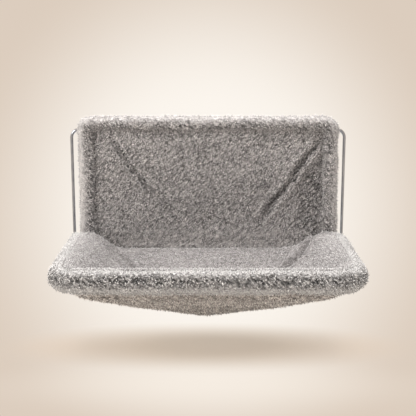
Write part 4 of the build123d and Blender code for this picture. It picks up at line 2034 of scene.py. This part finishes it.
    def under_height(self, x: Array, y: Array) -> Array:
        """Height of the under cloth's lower face before its pile.

        Args:
            x: X of each place.
            y: Y of each place.

        Returns:
            Z of each place.
        """
        slope = self.slope_low + self.slope_rise * self.pyramid(x, y, self.slope_reach)
        inset = self.inset(x, y)
        drop = np.sqrt(np.clip(self.rim_r**2 - np.clip(inset, 0, self.rim_r) ** 2, 0, None))
        roll = self.hoops.seat_z - drop + self.roll_tuck
        height = roll + (slope - roll) * smooth(inset, *self.under_bank)
        slack = ripple(x, 0.8, 33.0, -y / 29.0) + ripple(y, 0.5, 13.0, x / 37.0)
        folds = self.under_fold.relief(x, y)
        return height + self.pile_depth + (slack - folds) * smooth(inset, *self.under_slack)

    def under(self) -> None:
        """Make the under cloth and its pile."""
        outline = self.boundary(self.under_inset, self.under_rear, step=2.8)
        rings = self.rings(outline, np.linspace(0, 1, self.under_rings), self.under_height)
        base = dish("under_base", np.array(rings), self.cloth_thick)
        cloth = self.shop.cloth(base, "seat_under_cloth", PLUSH_UNDER, levels=0, lump_mm=1.6, nap_mm=1.2)
        pile = self.shop.pile(cloth, "seat_under_pile", PLUSH_UNDER, self.under_cut)
        Piece(cloth, Body.SEAT, "plush_under", ("hammock_under_cloth",)).place()
        Piece(pile, Body.SEAT, "plush_under").place()

    def hem_path(self) -> Array:
        """Middle line of the rear hem, from its left end at the pivot to its right one.

        Returns:
            Places along the line.
        """
        half = [self.hem_low, self.hem_turn]
        for x, behind, above in (self.hem_rise, self.hem_end):
            half.append((x, self.hoops.pivot_y + behind, self.hoops.seat_z + above))
        corners = np.array([(-x, y, z) for x, y, z in reversed(half)] + half)
        return resample(corners, step=3.5)[1]

    def hem(self) -> None:
        """Make the plush hem over the seat's rear bar, and its pile."""
        base = tube("hem_base", self.hem_path(), self.hem_r)
        cloth = self.shop.cloth(base, "seat_hem_cover", PLUSH_UNDER, lump_mm=1.0, nap_mm=0.8)
        pile = self.shop.pile(cloth, "seat_hem_pile", PLUSH_UNDER, self.hem_cut)
        Piece(cloth, Body.SEAT, "plush_roll", ("seat_rear_hem",)).place()
        Piece(pile, Body.SEAT, "plush_roll").place()

    def build(self) -> None:
        """Make every piece of the seat."""
        self.rim()
        self.lining()
        self.under()
        self.hem()


@dataclass
class SmallSoftParts:
    """Everything soft that is hidden or small: foam, wadding, lining, hem, tabs, label and stitches."""

    hoops: Hoops
    back_foam: Span = (9.2, 4.05)
    back_foam_top_x: float = 186.0
    back_foam_leg: Span = (-170.6, 11.0)
    seat_foam: Span = (13.0, 6.05)
    seat_foam_front_x: float = 177.5
    seat_foam_arm: Span = (-251.0, -76.5)
    wadding_x: float = 190.0
    wadding_y: Span = (-24.9, -20.1)
    wadding_z: Span = (-178.5, 15.2)
    lining_x: float = 191.4
    lining_y: Span = (-19.9, -18.3)
    lining_z: Span = (-181.8, 16.4)
    hem_x: float = 192.5
    hem_y: float = -25.5
    hem_z: float = -182.0
    hem_r: float = 5.85
    tab_x: Place = (-120.0, 0.0, 120.0)
    tab_half: float = 18.0
    tab_y: Span = (-18.2, -17.0)
    tab_z: Span = (-176.0, -128.0)
    label_x: Span = (151.0, 169.0)
    label_y: Span = (-18.2, -17.6)
    label_z: Span = (-125.0, -95.0)
    seam_x: float = 186.5
    seam_z: Span = (-173.0, 11.0)
    tab_seam_in: float = 2.0
    tab_seam_y: float = -16.95
    label_seam_x: Span = (152.5, 167.5)
    label_seam_y: float = -17.5
    label_seam_z: float = -97.0
    stitch_pitch: float = 3.6
    stitch_r: float = 0.28
    stitches: GeometryTree = field(default_factory=stitch_tree)

    def foams(self) -> None:
        """Make the six foam pipes over the two hoops."""
        y, z = self.hoops.back_y, self.hoops.back_top
        half = self.back_foam_top_x
        top = pipe("foam_back_top", (-half, y, z), (half, y, z), *self.back_foam)
        front, seat_z = self.hoops.seat_front, self.hoops.seat_z
        half = self.seat_foam_front_x
        fore = pipe("foam_rim_front", (-half, front, seat_z), (half, front, seat_z), *self.seat_foam)
        made = [(top, Body.HANGER, "back_foam_top"), (fore, Body.SEAT, "rim_foam_front")]
        for side, word in ((-1, "left"), (1, "right")):
            x = side * self.hoops.back_x
            ends = [(x, y, end) for end in self.back_foam_leg]
            leg = pipe(f"foam_back_{word}", *ends, *self.back_foam)
            made.append((leg, Body.HANGER, f"{word}_back_foam_side"))
            x = side * self.hoops.seat_x
            ends = [(x, end, seat_z) for end in self.seat_foam_arm]
            arm = pipe(f"foam_rim_{word}", *ends, *self.seat_foam)
            made.append((arm, Body.SEAT, f"{word}_rim_foam_side"))
        for piece, body, node in made:
            Piece(dress(piece, FOAM), body, "foam", (node,)).place()

    def layers(self) -> None:
        """Make the wadding and the woven rear lining."""
        span = (-self.wadding_x, self.wadding_x)
        wadding = plate("back_wadding_sheet", span, self.wadding_y, self.wadding_z, slack=0.15)
        Piece(dress(wadding, FOAM), Body.HANGER, "foam", ("back_wadding",)).place()
        span = (-self.lining_x, self.lining_x)
        lining = plate("back_lining", span, self.lining_y, self.lining_z, slack=0.12)
        Piece(dress(lining, BACKING), Body.HANGER, "backing_cloth", ("back_rear_cloth",)).place()

    def lower_hem(self) -> None:
        """Make the woven hem round the stay rod."""
        ends = [(-self.hem_x, self.hem_z), (self.hem_x, self.hem_z)]
        route = Route.rounded(ends, bend=1.0, step=4.0, side=1)

        def lift(x: Array, z: Array, rise: Array) -> Array:
            """Places of the hem's points, with their rise towards the viewer."""
            return np.stack([x, self.hem_y - rise, z], axis=1)

        def radius(along: Array, turn: Array) -> Array:
            """Radius of the hem, slightly uneven."""
            return self.hem_r + ripple(along, 0.12, 6.0, 2 * turn)

        hem = Sleeve(route, lift, radius, sides=22, ball_ends=False).mesh("back_hem")
        Piece(dress(hem, BACKING), Body.HANGER, "backing_cloth", ("back_lower_hem",)).place()

    def closures(self) -> None:
        """Make the touch-fastener tabs and the bare care label."""
        half = self.tab_half
        tabs = [
            plate(f"tab_{number}", (x - half, x + half), self.tab_y, self.tab_z, slack=0.0)
            for number, x in enumerate(self.tab_x)
        ]
        tab = join("closure_tapes", tabs)
        Piece(dress(tab, TAPE), Body.HANGER, "fastener_tape", ("closure_tabs",)).place()
        label = plate("care_ribbon", self.label_x, self.label_y, self.label_z, slack=0.0)
        Piece(dress(label, LABEL), Body.HANGER, "label_cloth", ("care_label",)).place()

    def sewing(self) -> None:
        """Set the stitches round the lining, the tabs and the label."""

        def frame(x: Span, z: Span, depth: float) -> list[Place]:
            """Closed upright rectangle of places."""
            corners = [(x[0], z[0]), (x[1], z[0]), (x[1], z[1]), (x[0], z[1]), (x[0], z[0])]
            return [(px, depth, pz) for px, pz in corners]

        loops = [frame((-self.seam_x, self.seam_x), self.seam_z, self.lining_y[1] + 0.1)]
        low, high = self.tab_z
        edge = self.tab_half - self.tab_seam_in
        for x in self.tab_x:
            span = (low + self.tab_seam_in, high - self.tab_seam_in)
            loops.append(frame((x - edge, x + edge), span, self.tab_seam_y))
        loops.append([(x, self.label_seam_y, self.label_seam_z) for x in self.label_seam_x])
        line = wires("seam_line", loops)
        thread = self.stitches.apply(
            line,
            "back_stitches",
            Pitch=self.stitch_pitch * MM,
            Thread=self.stitch_r * MM,
            Seed=5,
            Finish=WARDROBE.material(THREAD),
        )
        bpy.data.objects.remove(line)
        Piece(thread, Body.HANGER, "backing_cloth").place()

    def build(self) -> None:
        """Make every small soft piece."""
        self.foams()
        self.layers()
        self.lower_hem()
        self.closures()
        self.sewing()


@dataclass
class StudThreads:
    """The threads wound on the two hook studs, above their wing nuts."""

    stud_x: float = 120.0
    stud_y: float = 32.0
    low: float = 5.0
    top: float = 21.4
    radius: float = 3.0
    pitch: float = 1.0
    ridge: float = 0.32

    def build(self) -> None:
        """Wind both threads."""
        spots = [(side * self.stud_x, self.stud_y, self.low) for side in (-1, 1)]
        feet = wires("stud_feet", [[spot] for spot in spots])
        length = self.top - self.low
        made = thread_tree().apply(
            feet,
            "stud_threads",
            Radius=self.radius * MM,
            Length=length * MM,
            Turns=length / self.pitch,
            Ridge=self.ridge * MM,
            Finish=WARDROBE.material(ZINC),
        )
        bpy.data.objects.remove(feet)
        Piece(made, Body.HANGER, "zinc_steel").place()


@dataclass
class Hardware:
    """Rods, brackets, hooks and fasteners, which keep their own shape and get their finish."""

    frame: dict[str, Any]
    hard: tuple[Finish, ...] = (WIRE, ZINC, COATED, NYLON, RUBBER)
    soft: tuple[Finish, ...] = (PLUSH_FIELD, PLUSH_ROLL, PLUSH_UNDER, BACKING, TAPE, LABEL, FOAM)

    def build(self) -> None:
        """Dress each node in the finish of its material slot."""
        finishes = {finish.name: finish for finish in self.hard + self.soft}
        slots = {part["node"]: part["material_slot"] for part in self.frame["record"]["subparts"]}
        for name, node in self.frame["nodes"].items():
            finish = finishes[slots[name]]
            dress(node, finish)
            log.info("node %s is dressed as %s", name, finish.name)


@dataclass(frozen=True)
class FloorPatch:
    """A soft patch on the studio floor, in metres.

    Its middle is a place on Y, with 0 on X. Distances from it are scaled on X and Y, and between the two
    reaches the patch's value goes from the first to the second.
    """

    middle: float
    scale: Span
    reach: Span
    values: Span

    def value(self, g: Graph, place: Socket) -> Socket:
        """Value of the patch.

        Args:
            g: The tree that the nodes go into.
            place: Object coordinates.

        Returns:
            The eased value.
        """
        axes = g.axes(place)
        across = g.times(axes[0], self.scale[0])
        along = g.times(g.math("SUBTRACT", axes[1], self.middle), self.scale[1])
        return g.ramp(g.length(across, along), *self.reach, *self.values, "SMOOTHSTEP")


@dataclass(frozen=True)
class Lamp:
    """One soft rectangular lamp: place and size in metres, turn in degrees and power in watts."""

    name: str
    place: Place
    turn: Place
    size: Span
    power: float

    def hang(self) -> None:
        """Put the lamp into the scene."""
        data = bpy.data.lights.new(self.name, "AREA")
        data.shape = "RECTANGLE"
        data.size, data.size_y = self.size
        data.energy = self.power
        lamp = link(self.name, data)
        lamp.location = self.place
        lamp.rotation_euler = [math.radians(angle) for angle in self.turn]


@dataclass
class Studio:
    """Floor, light and camera, in metres."""

    floor_z: float = -0.31
    floor_rings: tuple[float, ...] = (0.4, 1.2, 4.0, 40.0)
    floor_sides: int = 48
    camera_y: float = -1.4669
    camera_z: float = 0.1873
    pitch: float = 0.207
    lens: float = 76.0
    sensor: float = 36.0
    lens_px: float = 878.2
    vignette_px: Span = (190.0, 205.0)
    vignette_reach: Span = (0.45, 1.35)
    # A painted vignette of light: glow in the middle of the view, edge towards its sides.
    glow: Colour = linear(252, 246, 238)
    edge: Colour = linear(220, 205, 190)
    # A painted pool of light in front of the shadow, and the painted warm tint of the shadow:
    painted_pool: Colour = linear(251, 242, 231)
    shadow: Colour = (0.98, 0.905, 0.83, 1.0)
    seen_tint: Colour = (0.70, 0.61, 0.51, 1.0)
    bounce: Colour = (0.72, 0.68, 0.635, 1.0)
    fill: Colour = (1.0, 0.985, 0.965, 1.0)
    fill_power: float = 0.8
    # Where the painted pool and shadow tint sit, and the glowing floor's share over the real shadow:
    painted_pool_patch: FloorPatch = FloorPatch(-0.31, (2.6, 8.0), (0.0, 1.0), (0.55, 0.0))
    painted_shadow_patch: FloorPatch = FloorPatch(-0.157, (3.1, 8.8), (0.2, 1.05), (1.0, 0.0))
    plain_patch: FloorPatch = FloorPatch(-0.157, (3.1, 8.8), (0.2, 1.05), (0.44, 1.0))
    lamps: tuple[Lamp, ...] = (
        Lamp("overhead", (0.0, -0.25, 1.5), (0, 0, 0), (1.5, 1.1), 44.5),
        Lamp("front_left", (-1.4, -1.1, 0.7), (65, 0, -56), (0.8, 0.8), 12.5),
    )

    def vignette(self, g: Graph, way: object) -> Socket:
        """Colour of the backdrop along a way from the usual viewpoint, in a painted vignette of light.

        Args:
            g: The tree that the nodes go into.
            way: The way as a vector.

        Returns:
            The colour socket.
        """
        axes = g.axes(way)
        fall, rise = math.cos(self.pitch), math.sin(self.pitch)
        ahead = g.math("SUBTRACT", g.times(axes[1], fall), g.times(axes[2], rise))
        deep = g.math("MAXIMUM", ahead, 1e-4)
        up = g.math("ADD", g.times(axes[1], rise), g.times(axes[2], fall))
        wide, high = self.vignette_px
        across = g.times(g.math("DIVIDE", axes[0], deep), self.lens_px / wide)
        above = g.times(g.math("DIVIDE", up, deep), self.lens_px / high)
        share = g.ramp(g.length(across, above), *self.vignette_reach, 0.0, 1.0, "SMOOTHSTEP")
        return g.mix(share, self.glow, self.edge)

    def seen(self, g: Graph) -> Socket:
        """1 for rays that show the backdrop itself, straight or in gloss or glass.

        Args:
            g: The tree that the nodes go into.

        Returns:
            The share socket.
        """
        light = g.node("ShaderNodeLightPath").outputs
        total = g.math("ADD", light["Is Camera Ray"], light["Is Glossy Ray"])
        return g.math("MINIMUM", g.math("ADD", total, light["Is Transmission Ray"]), 1.0)

    def floor_mesh(self) -> Shape:
        """Make the floor as a wide flat disc.

        Returns:
            The floor's object.
        """
        z, sides = self.floor_z / MM, self.floor_sides
        points = [(0.0, 0.0, z)]
        for ring in self.floor_rings:
            turns = np.linspace(0, FULL_TURN, sides, endpoint=False)
            points += [(ring / MM * math.cos(a), ring / MM * math.sin(a), z) for a in turns]
        faces = [(0, 1 + c, 1 + (c + 1) % sides) for c in range(sides)]
        faces += turned_over(grid_faces(len(self.floor_rings), sides, True, 1))
        return shell("studio_floor", np.array(points), faces, outwards=False)

    def floor(self) -> None:
        """Make the floor, which keeps the shadow near the object and fades into the backdrop.

        The shadow is lightened and painted warmer, with a painted pool of light in front of it.
        """
        floor = self.floor_mesh()
        material = bpy.data.materials.new("studio_floor")
        material.use_nodes = True
        g = Graph(material.node_tree)
        g.tree.nodes.clear()
        place = g.node("ShaderNodeTexCoord").outputs["Object"]
        colour = self.vignette(g, g.vector("SUBTRACT", place, (0.0, self.camera_y, self.camera_z)))
        straight = g.node("ShaderNodeLightPath").outputs["Is Camera Ray"]
        dim = g.mix(1.0, colour, self.seen_tint, "MULTIPLY")
        lit = g.out("ShaderNodeBsdfDiffuse", {0: g.mix(straight, self.bounce, dim)})
        # Painted shadow: the backdrop colour is tinted warmer inside the shadow's patch, and a painted pool
        # of light is mixed in just in front of it.
        shaded = g.mix(1.0, colour, self.shadow, "MULTIPLY")
        painted_warm_shadow = g.mix(self.painted_shadow_patch.value(g, place), colour, shaded)
        with_painted_pool = g.mix(self.painted_pool_patch.value(g, place), painted_warm_shadow, self.painted_pool)
        plain = g.out("ShaderNodeEmission", {0: with_painted_pool, 1: 1.0})
        # The glowing floor lightens the real shadow under the seat and covers it fully further out.
        share = g.times(self.plain_patch.value(g, place), self.seen(g))
        both = g.out("ShaderNodeMixShader", {0: share, 1: lit, 2: plain})
        below = g.times(g.node("ShaderNodeNewGeometry").outputs["Backfacing"], straight)
        clear = g.out("ShaderNodeBsdfTransparent")
        both = g.out("ShaderNodeMixShader", {0: below, 1: both, 2: clear})
        g.node("ShaderNodeOutputMaterial", {"Surface": both})
        floor.data.materials.append(material)

    def world(self) -> None:
        """Light the scene evenly, and show the backdrop colour above the floor."""
        world = bpy.data.worlds.new("studio")
        bpy.context.scene.world = world
        world.use_nodes = True
        g = Graph(world.node_tree)
        g.tree.nodes.clear()
        way = g.node("ShaderNodeTexCoord").outputs["Generated"]
        shown = g.out("ShaderNodeBackground", {0: self.vignette(g, way), 1: 1.0})
        fill = g.out("ShaderNodeBackground", {0: self.fill, 1: self.fill_power})
        both = g.out("ShaderNodeMixShader", {0: self.seen(g), 1: fill, 2: shown})
        g.node("ShaderNodeOutputWorld", {"Surface": both})

    def camera(self) -> None:
        """Set the camera at the photographed viewing angle."""
        data = bpy.data.cameras.new("view")
        data.lens, data.sensor_width, data.clip_end = self.lens, self.sensor, 100.0
        camera = link("view", data)
        camera.location = (0.0, self.camera_y, self.camera_z)
        camera.rotation_euler = (math.pi / 2 - self.pitch, 0.0, 0.0)
        bpy.context.scene.camera = camera

    def build(self) -> None:
        """Make the whole studio."""
        self.floor()
        self.world()
        for lamp in self.lamps:
            lamp.hang()
        self.camera()
        bpy.context.scene.view_settings.view_transform = "Standard"


def main() -> None:
    """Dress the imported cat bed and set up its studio."""
    logging.basicConfig(level=logging.INFO, format="%(name)s: %(message)s")
    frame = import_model()
    Hardware(frame).build()
    shop, hoops = PlushShop(), Hoops()
    BackPanel(shop, hoops).build()
    Seat(shop, hoops).build()
    SmallSoftParts(hoops).build()
    StudThreads().build()
    Studio().build()


if __name__ == "__main__":
    main()
